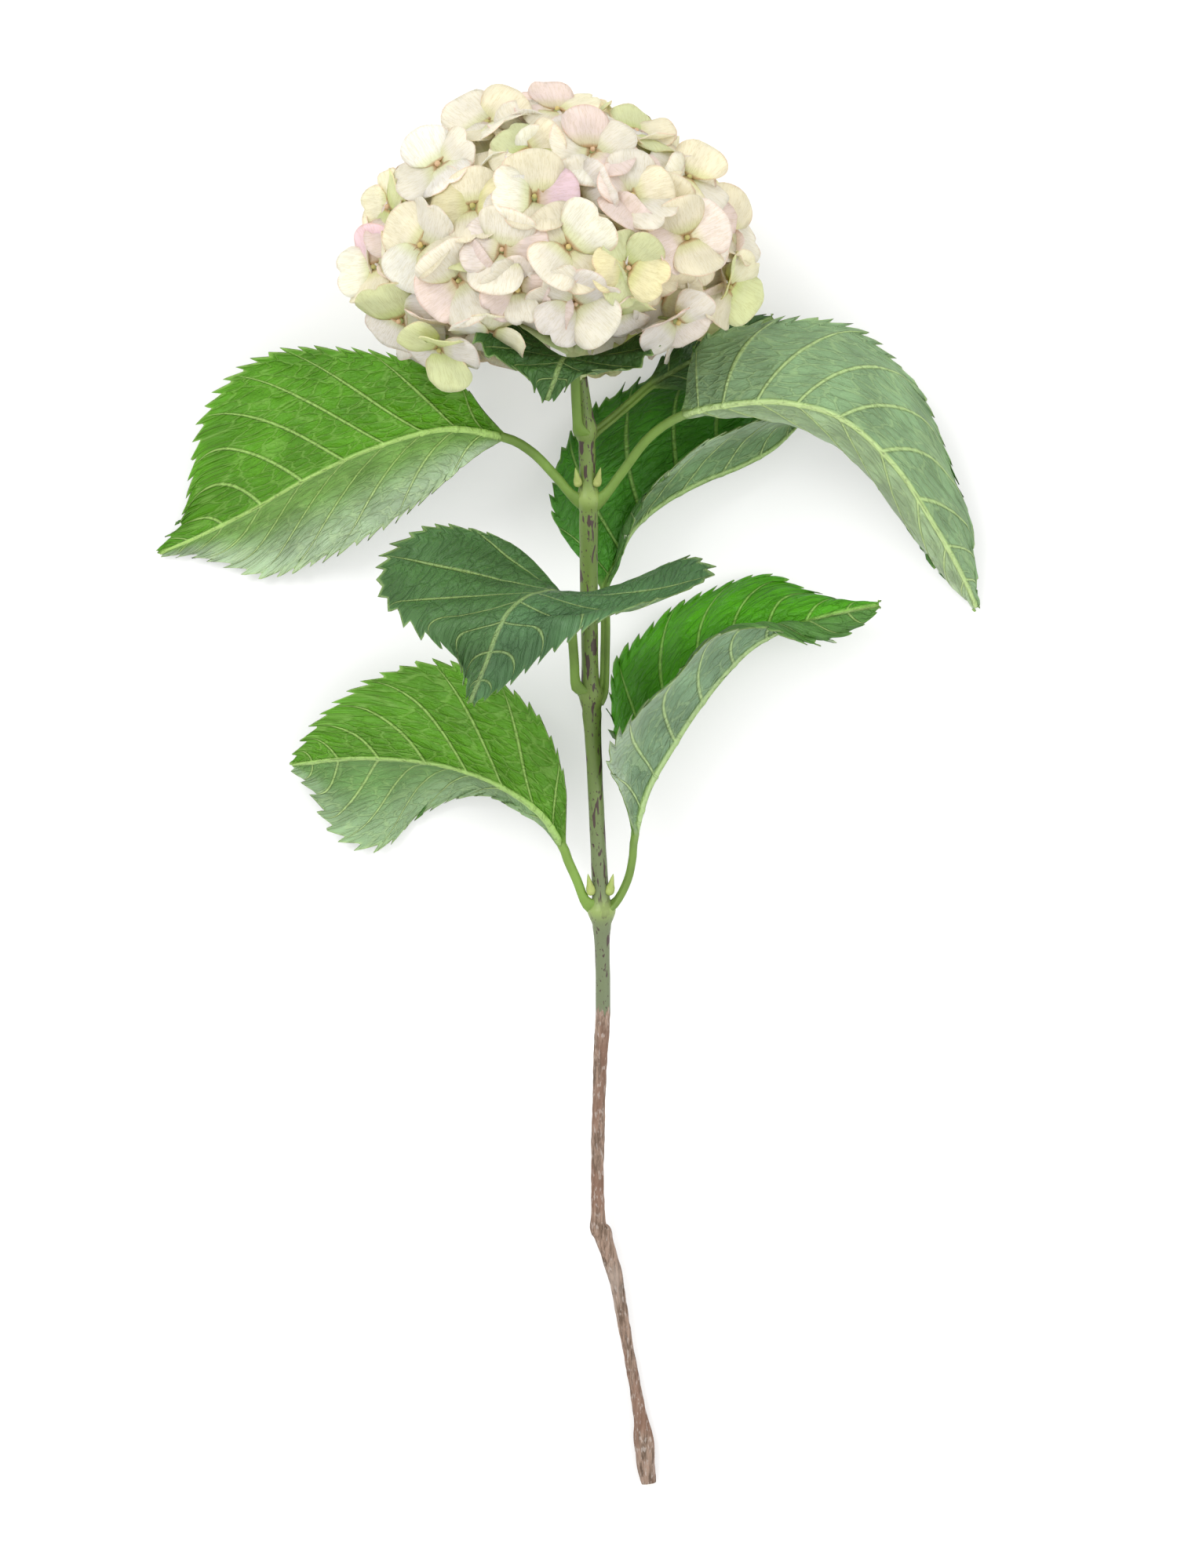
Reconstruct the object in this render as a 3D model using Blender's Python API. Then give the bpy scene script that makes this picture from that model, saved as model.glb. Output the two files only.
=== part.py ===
"""A cut hydrangea lying on a table: a woody stem, four pairs of leaves, axil buds and a mophead of florets.

Blender part: metres, +Z up. The stem lies along Y with the flower head towards +Y, and the table is Z = 0.
The design is written in millimetres and scaled by MM where a mesh is made.
"""

import math

import bmesh
import bpy
from mathutils import Vector

MM = 0.001

# Stem: the centre line from the cut end to the base of the head, each point with its radius.
STEM_SIDES = 12
STEM_LINE = [
    ((34.0, -294.0, 3.6), 3.0),
    ((33.0, -287.0, 4.0), 3.7),
    ((32.0, -276.0, 4.4), 4.1),
    ((29.7, -261.0, 4.6), 2.6),
    ((25.0, -236.0, 5.6), 2.3),
    ((20.0, -207.0, 8.0), 2.9),
    ((14.5, -188.0, 10.0), 3.6),
    ((12.4, -180.0, 11.4), 2.8),
    ((12.2, -150.0, 15.4), 2.6),
    ((13.2, -115.0, 20.0), 2.8),
    ((14.4, -90.0, 23.2), 3.1),
    ((14.0, -62.0, 27.0), 3.3),
    ((13.8, -50.0, 28.6), 5.2),
    ((13.4, -42.0, 29.6), 3.7),
    ((11.8, -10.0, 33.4), 3.3),
    ((10.2, 24.0, 38.0), 3.5),
    ((9.4, 41.0, 40.4), 4.6),
    ((8.9, 54.0, 42.2), 3.6),
    ((8.4, 90.0, 47.4), 3.8),
    ((8.3, 116.0, 51.4), 4.0),
    ((8.3, 124.0, 52.6), 4.8),
    ((8.0, 132.0, 53.8), 3.6),
    ((7.6, 146.0, 55.8), 3.6),
    ((7.2, 153.0, 56.6), 4.4),
    ((6.2, 164.0, 58.0), 3.4),
    ((4.6, 176.0, 59.6), 3.1),
]

# Leaves. The spine runs along the petiole and then the midrib. The two margins start where the blade does,
# and the blade is a smooth sheet between them, swelling a little on each side of the midrib.
PETIOLE_ROWS = 4
BLADE_ROWS = 18
PETIOLE_HALF_WIDTH = 2.0
TIP_HALF_WIDTH = 0.5
PETIOLE_HALF_DEPTH = 1.5
BLADE_HALF_DEPTH = 0.4
MIDRIB_HALF_DEPTH = 0.9
MARGIN_SHARES = (0.0, 0.2, 0.58, 1.0)  # the columns of each half, from the midrib to the margin
TOOTH = 0.035  # how far the margin goes out and in from row to row, as a share of the half's width
SWELL = 0.12  # how far each half bulges, as a share of its width
SPREAD_ROWS = 4  # rows over which the round stalk opens into the flat blade, and the blade narrows to its tip
STALK_FADE = 10.0  # a half wider than this adds none of the petiole's width

LEAVES = {
    "leaf_lower_left": {
        "petiole": [(7.1, -45.0, 30.5), (3.4, -36.0, 32.0), (-0.2, -28.0, 33.0)],
        "midrib": [(-3, -21, 34), (-12, -8, 37), (-28, 3, 40), (-45, 10, 41), (-64, 14, 39), (-84, 15.5, 34),
                   (-100, 15, 27), (-110, 13.8, 20), (-118, 13, 13)],
        "first": [(-3, -21, 34), (-2, 6, 35), (-14, 33, 31), (-36, 50, 27), (-59, 55, 24), (-83, 48, 21),
                  (-102, 35, 17), (-111, 24, 15), (-118, 13, 13)],
        "second": [(-3, -21, 34), (-15, -10, 27), (-31, -1, 17), (-46, 0, 8), (-62, -7, 5), (-80, -21, 5),
                   (-98, -16, 8), (-108, 1, 11), (-118, 13, 13)],
    },
    "leaf_lower_right": {
        "petiole": [(19.7, -45.0, 30.5), (24.4, -36.0, 32.0), (26.4, -27.0, 33.0)],
        "midrib": [(27.5, -17, 34), (33, 2, 35), (42, 18, 35), (53, 35, 34), (66, 51.5, 32), (78, 63, 29),
                   (92, 70.5, 26), (107, 75.5, 22), (121, 79, 18), (132, 81, 15)],
        "first": [(27.5, -17, 34), (20, 14, 27), (18, 38, 18), (22, 56, 12), (37, 72, 9), (57, 85, 8),
                  (80, 92, 9), (102, 87, 13), (117, 82.5, 15), (132, 81, 15)],
        "second": [(27.5, -17, 34), (22, 2, 43), (18.5, 15, 56), (26, 31, 64), (42, 47, 64), (58, 64.5, 57),
                   (78, 70, 44), (102, 65, 27), (119, 70, 18), (132, 81, 15)],
    },
    "leaf_middle_front": {
        "petiole": [(3.0, 47.0, 44.0), (2.2, 57.0, 47.0), (1.2, 70.0, 50.5)],
        "midrib": [(0, 82, 56), (-5, 86, 74), (-11, 85, 92), (-18, 82.5, 108), (-25, 76, 120), (-30, 66, 122),
                   (-34, 55, 115), (-38, 46, 106), (-41, 38.7, 98)],
        "first": [(0, 82, 56), (-24, 106, 68), (-55, 112, 82), (-74, 100, 96), (-76, 84, 110), (-64, 71, 116),
                  (-48, 60, 112), (-42, 48, 104), (-41, 38.7, 98)],
        "second": [(0, 82, 56), (22, 89, 66), (48, 99, 80), (58, 92, 92), (44, 83, 104), (14, 74, 114),
                   (-8, 61, 112), (-26, 47, 105), (-41, 38.7, 98)],
    },
    "leaf_middle_back": {
        "petiole": [(14.5, 46.0, 37.6), (15.2, 60.0, 35.4), (15.4, 74.0, 34.4)],
        "midrib": [(15, 88, 34), (19, 97, 32), (27, 113, 29), (41, 125, 26), (58, 134, 22), (73, 140, 19),
                   (86, 147, 16), (94, 154, 14), (99, 159, 12)],
        "first": [(15, 88, 34), (0, 107, 27), (-6, 124, 19), (0, 150, 10), (19, 170, 5), (42, 179, 3),
                  (70, 173, 6), (90, 164, 10), (99, 159, 12)],
        "second": [(15, 88, 34), (20, 100, 36), (28, 120, 39), (40, 134, 41), (55, 147, 41), (71, 155, 36),
                   (84, 158, 28), (93, 159, 19), (99, 159, 12)],
    },
    "leaf_upper_left": {
        "petiole": [(2.0, 126.0, 54.2), (-6.0, 135.0, 55.5), (-16.0, 145.0, 57.0)],
        "midrib": [(-28, 151, 58), (-52, 154, 60), (-80, 147, 57), (-108, 135, 48), (-134, 121, 34),
                   (-157, 110.5, 17), (-175, 103.5, 3)],
        "first": [(-28, 151, 58), (-50, 176, 52), (-90, 187.5, 42), (-128, 185.5, 30), (-153, 163, 18),
                  (-163, 122, 10), (-175, 103.5, 3)],
        "second": [(-28, 151, 58), (-52, 134, 40), (-78, 115.5, 26), (-104, 102.5, 13), (-129, 95.5, 5),
                   (-155, 102, 5), (-175, 103.5, 3)],
    },
    "leaf_upper_right": {
        "petiole": [(14.6, 126.0, 54.2), (23.0, 137.0, 56.0), (34.0, 151.0, 59.0)],
        "midrib": [(48, 160, 62), (66, 164, 67), (90, 165, 69), (115, 158, 66), (138, 138, 55), (156, 112, 37),
                   (167, 94, 19), (174, 80.5, 3)],
        "first": [(48, 160, 62), (54, 190, 50), (82, 199, 45), (118, 198, 38), (147, 172, 28), (166, 130, 20),
                  (172, 103, 11), (174, 80.5, 3)],
        "second": [(48, 160, 62), (70, 161, 46), (93, 158, 36), (113, 149, 27), (131, 132, 18), (149, 107, 10),
                   (162, 91, 6), (174, 80.5, 3)],
    },
    "leaf_top_front": {
        "petiole": [(3.9, 155.0, 62.3), (3.2, 163.0, 65.4), (2.8, 171.0, 69.0)],
        "midrib": [(2.6, 177, 73), (2, 180.5, 83), (0, 182.5, 94), (-2, 182, 104), (-4, 178, 111),
                   (-6, 171.5, 113), (-9, 164, 110)],
        "first": [(2.6, 177, 73), (-13, 190, 84), (-27, 199, 99), (-38, 199, 111), (-36, 186, 116),
                  (-18, 175, 114), (-9, 164, 110)],
        "second": [(2.6, 177, 73), (17, 186, 78), (28, 192, 87), (34, 187, 97), (28, 178, 105), (6, 174.5, 110),
                   (-9, 164, 110)],
    },
    "leaf_top_back": {
        "petiole": [(10.6, 153.0, 52.3), (18.0, 159.0, 47.0), (27.0, 167.0, 41.0)],
        "midrib": [(35, 174, 36), (48, 182, 29), (61, 190, 20), (74, 198, 11), (87, 204, 4)],
        "first": [(35, 174, 36), (40, 185, 27), (53, 195, 17), (68, 204, 8), (87, 204, 4)],
        "second": [(35, 174, 36), (56, 172, 27), (72, 178, 18), (83, 189, 9), (87, 204, 4)],
    },
}

# Buds in the leaf axils, each with its base, its tip and its greatest radius.
BUD_SIDES = 8
BUD_PROFILE = [(0.0, 0.55), (0.2, 0.95), (0.45, 1.0), (0.75, 0.62), (1.0, 0.15)]
BUDS = {
    "bud_lower_left": ((9.0, -39.0, 33.0), (7.6, -31.0, 35.6), 1.5),
    "bud_lower_right": ((17.6, -39.0, 32.4), (19.2, -31.0, 35.4), 1.5),
    "bud_upper_left": ((3.6, 133.0, 57.2), (2.4, 140.0, 60.4), 1.4),
    "bud_upper_right": ((12.2, 133.0, 57.0), (13.8, 140.0, 60.2), 1.4),
}

# Flower head: a dome, open round the stem. The florets on its upper side have their own places, seen from
# above, and those underneath are spread by the golden angle.
HEAD_CENTRE = Vector((-7.0, 226.0, 68.0))
HEAD_RADII = Vector((77.0, 63.0, 69.0))
HEAD_LOWER_RADIUS = 57.0
HEAD_SAG = 20.0  # how much lower the head hangs on its -X side
UPPER_FLORETS = [
    (-5, 286), (-34, 281), (29, 279), (-17, 268), (10, 268), (-54, 262), (51, 259), (-76, 246), (27, 249),
    (-40, 244), (-14, 247), (70, 238), (-61, 228), (48, 231), (-27, 225), (0, 226), (-80, 220), (24, 218),
    (-46, 212), (67, 213), (43, 196), (-21, 209), (3, 203), (-70, 196), (-48, 183),
]
UNDER_SPREAD = 46
UNDER_TOP = -0.13  # share of the dome's height, below its middle, where the under florets start
UNDER_POLAR_END = math.radians(127)
FLORET_RADIUS = 19.5
FLORET_GAP = 0.5
SEPALS = 4
FLORET_SIDES = 16
NOTCH_SHARE = 0.64  # of the radius, between two sepals
SEPAL_CUP = 2.4  # how far a sepal's edge stands above the floret's centre
FLORET_HALF_DEPTH = 0.45
FLORET_BUD_RADIUS = 1.9
FLORET_BUD_HEIGHT = 2.4
PEDICEL_RADIUS = 0.8
PEDICEL_NECK = 2.2  # where it starts to widen, below the floret's centre
GOLDEN_ANGLE = math.pi * (3 - math.sqrt(5))
PRESS = 3.0  # softness of the bend where petals meet the table

# Flower stalks: a hub above the stem's end and branches that each end in a knot, which carries pedicels.
STALK_GAP = 0.4
HUB_CENTRE = Vector((3.0, 186.0, 61.0))
HUB_RADIUS = 4.4
KNOT_COUNT = 11
KNOT_REACH = 0.6  # of the way from the hub to the florets it carries
KNOT_RADIUS = 3.4
BRANCH_SIDES = 8
BRANCH_PROFILE = [(0.0, 2.2), (0.5, 1.7), (0.86, 1.4)]  # share of the length and radius

COLOURS = {
    "leaf": ((0.10, 0.25, 0.05), 0.45),
    "stem": ((0.24, 0.25, 0.10), 0.55),
    "bud": ((0.40, 0.50, 0.14), 0.5),
    "flower_stalk": ((0.36, 0.46, 0.18), 0.5),
    "petal": ((0.83, 0.79, 0.64), 0.6),
}


def clear_scene():
    for obj in list(bpy.data.objects):
        bpy.data.objects.remove(obj)


def material(name):
    made = bpy.data.materials.get(name)
    if made is None:
        colour, roughness = COLOURS[name]
        made = bpy.data.materials.new(name)
        made.use_nodes = True
        shader = made.node_tree.nodes["Principled BSDF"]
        shader.inputs["Base Color"].default_value = (*colour, 1)
        shader.inputs["Roughness"].default_value = roughness
        shader.inputs["Metallic"].default_value = 0
    return made


def object_from(bm, name, material_name):
    """Puts the bmesh in the scene as one object, in metres, with its faces outward."""
    bmesh.ops.recalc_face_normals(bm, faces=bm.faces)
    bmesh.ops.scale(bm, vec=(MM, MM, MM), verts=bm.verts)
    mesh = bpy.data.meshes.new(name)
    bm.to_mesh(mesh)
    bm.free()
    mesh.materials.append(material(material_name))
    obj = bpy.data.objects.new(name, mesh)
    bpy.context.scene.collection.objects.link(obj)
    return obj


def along(points, share):
    """The point at this share of a smooth curve through the points."""
    at = min(max(share, 0), 1) * (len(points) - 1)
    i = min(int(at), len(points) - 2)
    t = at - i
    b, c = Vector(points[i]), Vector(points[i + 1])
    a = Vector(points[i - 1]) if i > 0 else 2 * b - c
    d = Vector(points[i + 2]) if i + 2 < len(points) else 2 * c - b
    bend = (2 * a - 5 * b + 4 * c - d) * (t * t / 2) + (3 * b - a - 3 * c + d) * (t**3 / 2)
    return b + (c - a) * (t / 2) + bend


def across(vector, direction):
    """The vector without its part along the direction, at length 1."""
    direction = direction.normalized()
    return (vector - direction * vector.dot(direction)).normalized()


def ring(centre, axis, radius, sides):
    right = across(Vector((1, 0.01, 0.02)) if abs(axis.normalized().x) < 0.9 else Vector((0, 0, 1)), axis)
    up = axis.normalized().cross(right)
    angles = [2 * math.pi * k / sides for k in range(sides)]
    return [centre + radius * (math.cos(a) * right + math.sin(a) * up) for a in angles]


def tube(line, sides):
    """Rings round a centre line of (point, radius)."""
    centres = [Vector(point) for point, _ in line]
    rings = []
    for i, (_, radius) in enumerate(line):
        axis = centres[min(i + 1, len(line) - 1)] - centres[max(i - 1, 0)]
        rings.append(ring(centres[i], axis, radius, sides))
    return rings


def solid_through(rings):
    """A closed solid: a filled circle placed on the first ring, then extruded from ring to ring."""
    bm = bmesh.new()
    order = bm.verts.layers.int.new("order")
    circle = bmesh.ops.create_circle(bm, cap_ends=True, radius=1, segments=len(rings[0]))["verts"]
    for k, vert in enumerate(circle):
        vert[order] = k
        vert.co = rings[0][k]
    cap = bm.faces[:][0]
    for i, places in enumerate(rings[1:]):
        grown = bmesh.ops.extrude_face_region(bm, geom=[cap])["geom"]
        if i > 0:
            bmesh.ops.delete(bm, geom=[cap], context="FACES_ONLY")
        cap = next(item for item in grown if isinstance(item, bmesh.types.BMFace))
        for vert in cap.verts:
            vert.co = places[vert[order]]
    return bm


def pressed(point):
    """The point, raised where it would be under the table, as a petal bends where the head rests."""
    x, y, z = point
    return Vector((x, y, PRESS * math.log1p(math.exp(z / PRESS))))


def build_stem():
    object_from(solid_through(tube(STEM_LINE, STEM_SIDES)), "stem", "stem")


def build_bud(name, base, tip, radius):
    base, tip = Vector(base), Vector(tip)
    line = [(base.lerp(tip, share), radius * wide) for share, wide in BUD_PROFILE]
    object_from(solid_through(tube(line, BUD_SIDES)), name, "bud")


def leaf_row(table, row):
    """One row of a leaf: its points from margin to margin with half the leaf's depth at each, and its normal."""
    blade = max(row - PETIOLE_ROWS, 0) / BLADE_ROWS
    curve = table["petiole"] + table["midrib"]
    start = len(table["petiole"]) / (len(curve) - 1)
    at = start * row / PETIOLE_ROWS if row < PETIOLE_ROWS else start + (1 - start) * blade
    centre = along(curve, at)
    forward = along(curve, at + 0.02) - along(curve, at - 0.02)
    steady = min(max(blade, 0.1), 0.9)  # the halves have no width at the blade's two ends
    lateral = across(along(table["first"], steady) - along(table["second"], steady), forward)
    stalk = PETIOLE_HALF_WIDTH * (1 - blade) + TIP_HALF_WIDTH * blade
    depth = PETIOLE_HALF_DEPTH * (1 - blade) ** 5
    places = []
    for half, sign in (("second", -1), ("first", 1)):
        reach = along(table[half], blade) - along(table["midrib"], blade)
        edge = lateral * (sign * stalk * max(0.0, 1 - reach.length / STALK_FADE))
        outward = forward.cross(reach).normalized() * sign
        bulge = outward * (SWELL * 4 * reach.length)
        if 0 < blade < 0.95:
            reach *= 1 + TOOTH * (1 if row % 2 else -1)
        for share in MARGIN_SHARES[:0:-1] if sign < 0 else MARGIN_SHARES:
            place = centre + (reach + edge) * share + bulge * (share * (1 - share))
            ridge = (MIDRIB_HALF_DEPTH - BLADE_HALF_DEPTH) * (1 - blade) if share == 0 else 0
            round_stalk = depth * math.sqrt(1 - 0.85 * share * share)
            places.append((place, max(BLADE_HALF_DEPTH + ridge, round_stalk)))
    return places, lateral.cross(forward).normalized()


def build_leaf(name, table):
    """A petiole and a blade as one solid: a grid bent to the leaf's rows, then extruded to its depth."""
    bm = bmesh.new()
    half_depth = bm.verts.layers.float.new("half_depth")
    columns = 2 * len(MARGIN_SHARES) - 1
    rows = PETIOLE_ROWS + BLADE_ROWS + 1
    grid = bmesh.ops.create_grid(bm, x_segments=columns - 1, y_segments=rows - 1, size=1)["verts"]
    row_normals = []
    for row in range(rows):
        places, upward = leaf_row(table, row)
        row_normals.append(upward)
        for vert, (place, depth) in zip(grid[row * columns:(row + 1) * columns], places):
            vert.co = place
            vert[half_depth] = depth
    bm.normal_update()
    normals = []
    for i, vert in enumerate(grid):
        row = i // columns
        spread = min(1.0, max(0, row - PETIOLE_ROWS) / SPREAD_ROWS, (rows - 1 - row) / SPREAD_ROWS)
        normals.append(row_normals[row].lerp(vert.normal, spread).normalized())
    grown = bmesh.ops.extrude_face_region(bm, geom=bm.faces[:])["geom"]
    upper = [item for item in grown if isinstance(item, bmesh.types.BMVert)]
    for verts, sign in ((upper, 1), (grid, -1)):
        for vert, normal in zip(verts, normals):
            vert.co += normal * (sign * vert[half_depth])
    object_from(bm, name, "leaf")


def dome_place(unit):
    """The centre and facing of a floret in this direction from the head's middle."""
    radii = Vector((HEAD_RADII.x, HEAD_RADII.y if unit.y > 0 else HEAD_LOWER_RADIUS, HEAD_RADII.z))
    centre = HEAD_CENTRE + unit * radii
    facing = Vector((unit.x / radii.x, unit.y / radii.y, unit.z / radii.z)).normalized()
    return centre, facing


def upper_unit(x, y):
    """The direction from the head's middle to the dome's point over (x, y)."""
    across_x = (x - HEAD_CENTRE.x) / HEAD_RADII.x
    drop = HEAD_SAG * max(0.0, -across_x) * max(0.0, (HEAD_CENTRE.y - y) / HEAD_LOWER_RADIUS)
    along_y = (y + drop - HEAD_CENTRE.y) / (HEAD_RADII.y if y > HEAD_CENTRE.y else HEAD_LOWER_RADIUS)
    height = math.sqrt(max(0.02, 1 - across_x**2 - along_y**2))
    return Vector((across_x, along_y, height)).normalized()


def head_places():
    """The centre of each floret and the way it faces."""
    units = [upper_unit(x, y) for x, y in UPPER_FLORETS]
    lowest = math.cos(UNDER_POLAR_END)
    for i in range(UNDER_SPREAD):
        rise = 1 - (1 - lowest) * (i + 0.5) / UNDER_SPREAD
        reach = math.sqrt(1 - rise * rise)
        turn = i * GOLDEN_ANGLE
        unit = Vector((reach * math.cos(turn), rise, reach * math.sin(turn)))
        if unit.z < UNDER_TOP:
            units.append(unit)
    places = []
    for unit in units:
        centre, facing = dome_place(unit)
        centre.y -= HEAD_SAG * max(0.0, -unit.x) * max(0.0, -unit.y)
        places.append((centre, facing))
    return places


def knots_for(places):
    """Groups the florets round KNOT_COUNT of them, and gives each group's knot and florets."""
    step = len(places) / KNOT_COUNT
    means = [places[int((k + 0.5) * step)][0] for k in range(KNOT_COUNT)]
    for _ in range(20):
        groups = [[] for _ in means]
        for i, (centre, _) in enumerate(places):
            nearest = min(range(KNOT_COUNT), key=lambda k: (means[k] - centre).length)
            groups[nearest].append(i)
        means = [sum((places[i][0] for i in group), Vector()) / len(group) for group in groups]
    return [(HUB_CENTRE.lerp(mean, KNOT_REACH), group) for mean, group in zip(means, groups)]


def build_floret(number, centre, facing, others, knot):
    """Four sepals in one, kept clear of its neighbours by the planes halfway to them."""
    turn = number * GOLDEN_ANGLE
    right = across(Vector((0.3, 0.2, 1)), facing)
    stalk = (centre - knot).normalized()
    foot = knot + stalk * (KNOT_RADIUS + STALK_GAP)

    def spokes(axis):
        """Unit directions round an axis, in step with each other for any axis."""
        first = across(right, axis)
        second = axis.cross(first)
        angles = [turn + 2 * math.pi * k / FLORET_SIDES for k in range(FLORET_SIDES)]
        return [math.cos(angle) * first + math.sin(angle) * second for angle in angles]

    def hoop(middle, axis, radius):
        return [middle + spoke * radius for spoke in spokes(axis)]

    def sheet(lift):
        points = []
        for k, spoke in enumerate(spokes(facing)):
            lobe = abs(math.sin(math.pi * k * SEPALS / FLORET_SIDES)) ** 0.7
            reach = spoke * (FLORET_RADIUS * (NOTCH_SHARE + (1 - NOTCH_SHARE) * lobe))
            reach += facing * (SEPAL_CUP * (0.4 + 0.6 * lobe))
            for other in others:
                span = other - centre
                room = span.length / 2 - FLORET_GAP - FLORET_HALF_DEPTH
                out = reach.dot(span.normalized())
                if out > room:
                    reach *= room / out
            points.append(centre + reach + facing * lift)
        return points

    rings = [
        hoop(foot, stalk, PEDICEL_RADIUS),
        hoop(centre - stalk * PEDICEL_NECK, stalk, PEDICEL_RADIUS),
        sheet(-FLORET_HALF_DEPTH),
        sheet(FLORET_HALF_DEPTH),
        hoop(centre + facing * FLORET_HALF_DEPTH, facing, FLORET_BUD_RADIUS),
        hoop(centre + facing * FLORET_BUD_HEIGHT, facing, FLORET_BUD_RADIUS * 0.4),
    ]
    bm = solid_through([[pressed(point) for point in places] for places in rings])
    object_from(bm, f"floret_{number + 1:02d}", "petal")


def build_flower_stalks(knots):
    """The hub, joined to a short tube over the stem's end and to each branch by one exact union."""
    end, before = Vector(STEM_LINE[-1][0]), Vector(STEM_LINE[-2][0])
    start = end + (end - before).normalized() * STALK_GAP
    bm = bmesh.new()
    bmesh.ops.create_icosphere(bm, subdivisions=2, radius=HUB_RADIUS)
    bmesh.ops.translate(bm, vec=HUB_CENTRE, verts=bm.verts)
    hub = object_from(bm, "flower_stalks", "flower_stalk")
    cutters = bpy.data.collections.new("branches")
    bpy.context.scene.collection.children.link(cutters)
    lines = [[(start, 3.0), (HUB_CENTRE, 3.4)]]
    for knot, _ in knots:
        line = [(HUB_CENTRE.lerp(knot, share), radius) for share, radius in BRANCH_PROFILE]
        forward = (knot - HUB_CENTRE).normalized()
        for share, wide in ((-0.7, 0.72), (0.0, 1.0), (0.7, 0.72)):
            line.append((knot + forward * (KNOT_RADIUS * share), KNOT_RADIUS * wide))
        lines.append(line)
    for number, line in enumerate(lines):
        branch = object_from(solid_through(tube(line, BRANCH_SIDES)), f"branch_{number:02d}", "flower_stalk")
        bpy.context.scene.collection.objects.unlink(branch)
        cutters.objects.link(branch)
        branch.hide_render = True
        branch.display_type = "WIRE"
    union = hub.modifiers.new("branches", "BOOLEAN")
    union.operation = "UNION"
    union.operand_type = "COLLECTION"
    union.collection = cutters
    union.solver = "EXACT"


def main():
    clear_scene()
    build_stem()
    for name, table in LEAVES.items():
        build_leaf(name, table)
    for name, (base, tip, radius) in BUDS.items():
        build_bud(name, base, tip, radius)
    places = head_places()
    knots = knots_for(places)
    build_flower_stalks(knots)
    for knot, group in knots:
        for number in group:
            centre, facing = places[number]
            others = [other for other, _ in places if other != centre]
            build_floret(number, centre, facing, others, knot)


main()
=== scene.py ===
"""A cut hydrangea lying on a pale table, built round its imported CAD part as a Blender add-on.

Lengths in the settings are metres. The tables of the leaves and the stem are in millimetres, as in the
part.
"""

import math
import random

import bmesh
import bpy
from bpy.props import FloatProperty, FloatVectorProperty, IntProperty, PointerProperty
from mathutils import Matrix, Vector, noise


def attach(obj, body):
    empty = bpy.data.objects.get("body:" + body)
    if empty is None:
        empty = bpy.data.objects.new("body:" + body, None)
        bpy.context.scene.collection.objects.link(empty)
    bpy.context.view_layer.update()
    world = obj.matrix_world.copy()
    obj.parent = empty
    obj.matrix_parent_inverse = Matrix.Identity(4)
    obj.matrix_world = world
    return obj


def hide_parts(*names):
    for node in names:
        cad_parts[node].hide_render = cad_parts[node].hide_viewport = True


bl_info = {
    "name": "Cut hydrangea",
    "version": (1, 0, 0),
    "blender": (4, 5, 0),
    "location": "View3D > Sidebar > Hydrangea",
    "description": "Builds a cut mophead hydrangea with its stem, leaves and florets",
    "category": "Add Mesh",
}

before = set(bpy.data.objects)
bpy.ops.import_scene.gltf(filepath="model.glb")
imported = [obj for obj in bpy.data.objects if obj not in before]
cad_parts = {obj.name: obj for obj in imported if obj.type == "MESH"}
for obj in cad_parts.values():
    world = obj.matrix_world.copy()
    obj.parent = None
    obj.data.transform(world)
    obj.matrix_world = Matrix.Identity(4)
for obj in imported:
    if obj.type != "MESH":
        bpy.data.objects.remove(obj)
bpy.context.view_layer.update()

MM = 0.001
BODY = "root"
GOLDEN_ANGLE = math.pi * (3 - math.sqrt(5))

# The stem's centre line from the cut end to the base of the head, each point with its radius.
STEM_LINE = [
    ((34, -294, 3.6), 3), ((33, -287, 4), 3.7), ((32, -276, 4.4), 4.1), ((29.7, -261, 4.6), 2.6),
    ((25, -236, 5.6), 2.3), ((20, -207, 8), 2.9), ((14.5, -188, 10), 3.6), ((12.4, -180, 11.4), 2.8),
    ((12.2, -150, 15.4), 2.6), ((13.2, -115, 20), 2.8), ((14.4, -90, 23.2), 3.1), ((14, -62, 27), 3.3),
    ((13.8, -50, 28.6), 5.2), ((13.4, -42, 29.6), 3.7), ((11.8, -10, 33.4), 3.3), ((10.2, 24, 38), 3.5),
    ((9.4, 41, 40.4), 4.6), ((8.9, 54, 42.2), 3.6), ((8.4, 90, 47.4), 3.8), ((8.3, 116, 51.4), 4),
    ((8.3, 124, 52.6), 4.8), ((8, 132, 53.8), 3.6), ((7.6, 146, 55.8), 3.6), ((7.2, 153, 56.6), 4.4),
    ((6.2, 164, 58), 3.4), ((4.6, 176, 59.6), 3.1),
]

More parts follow.
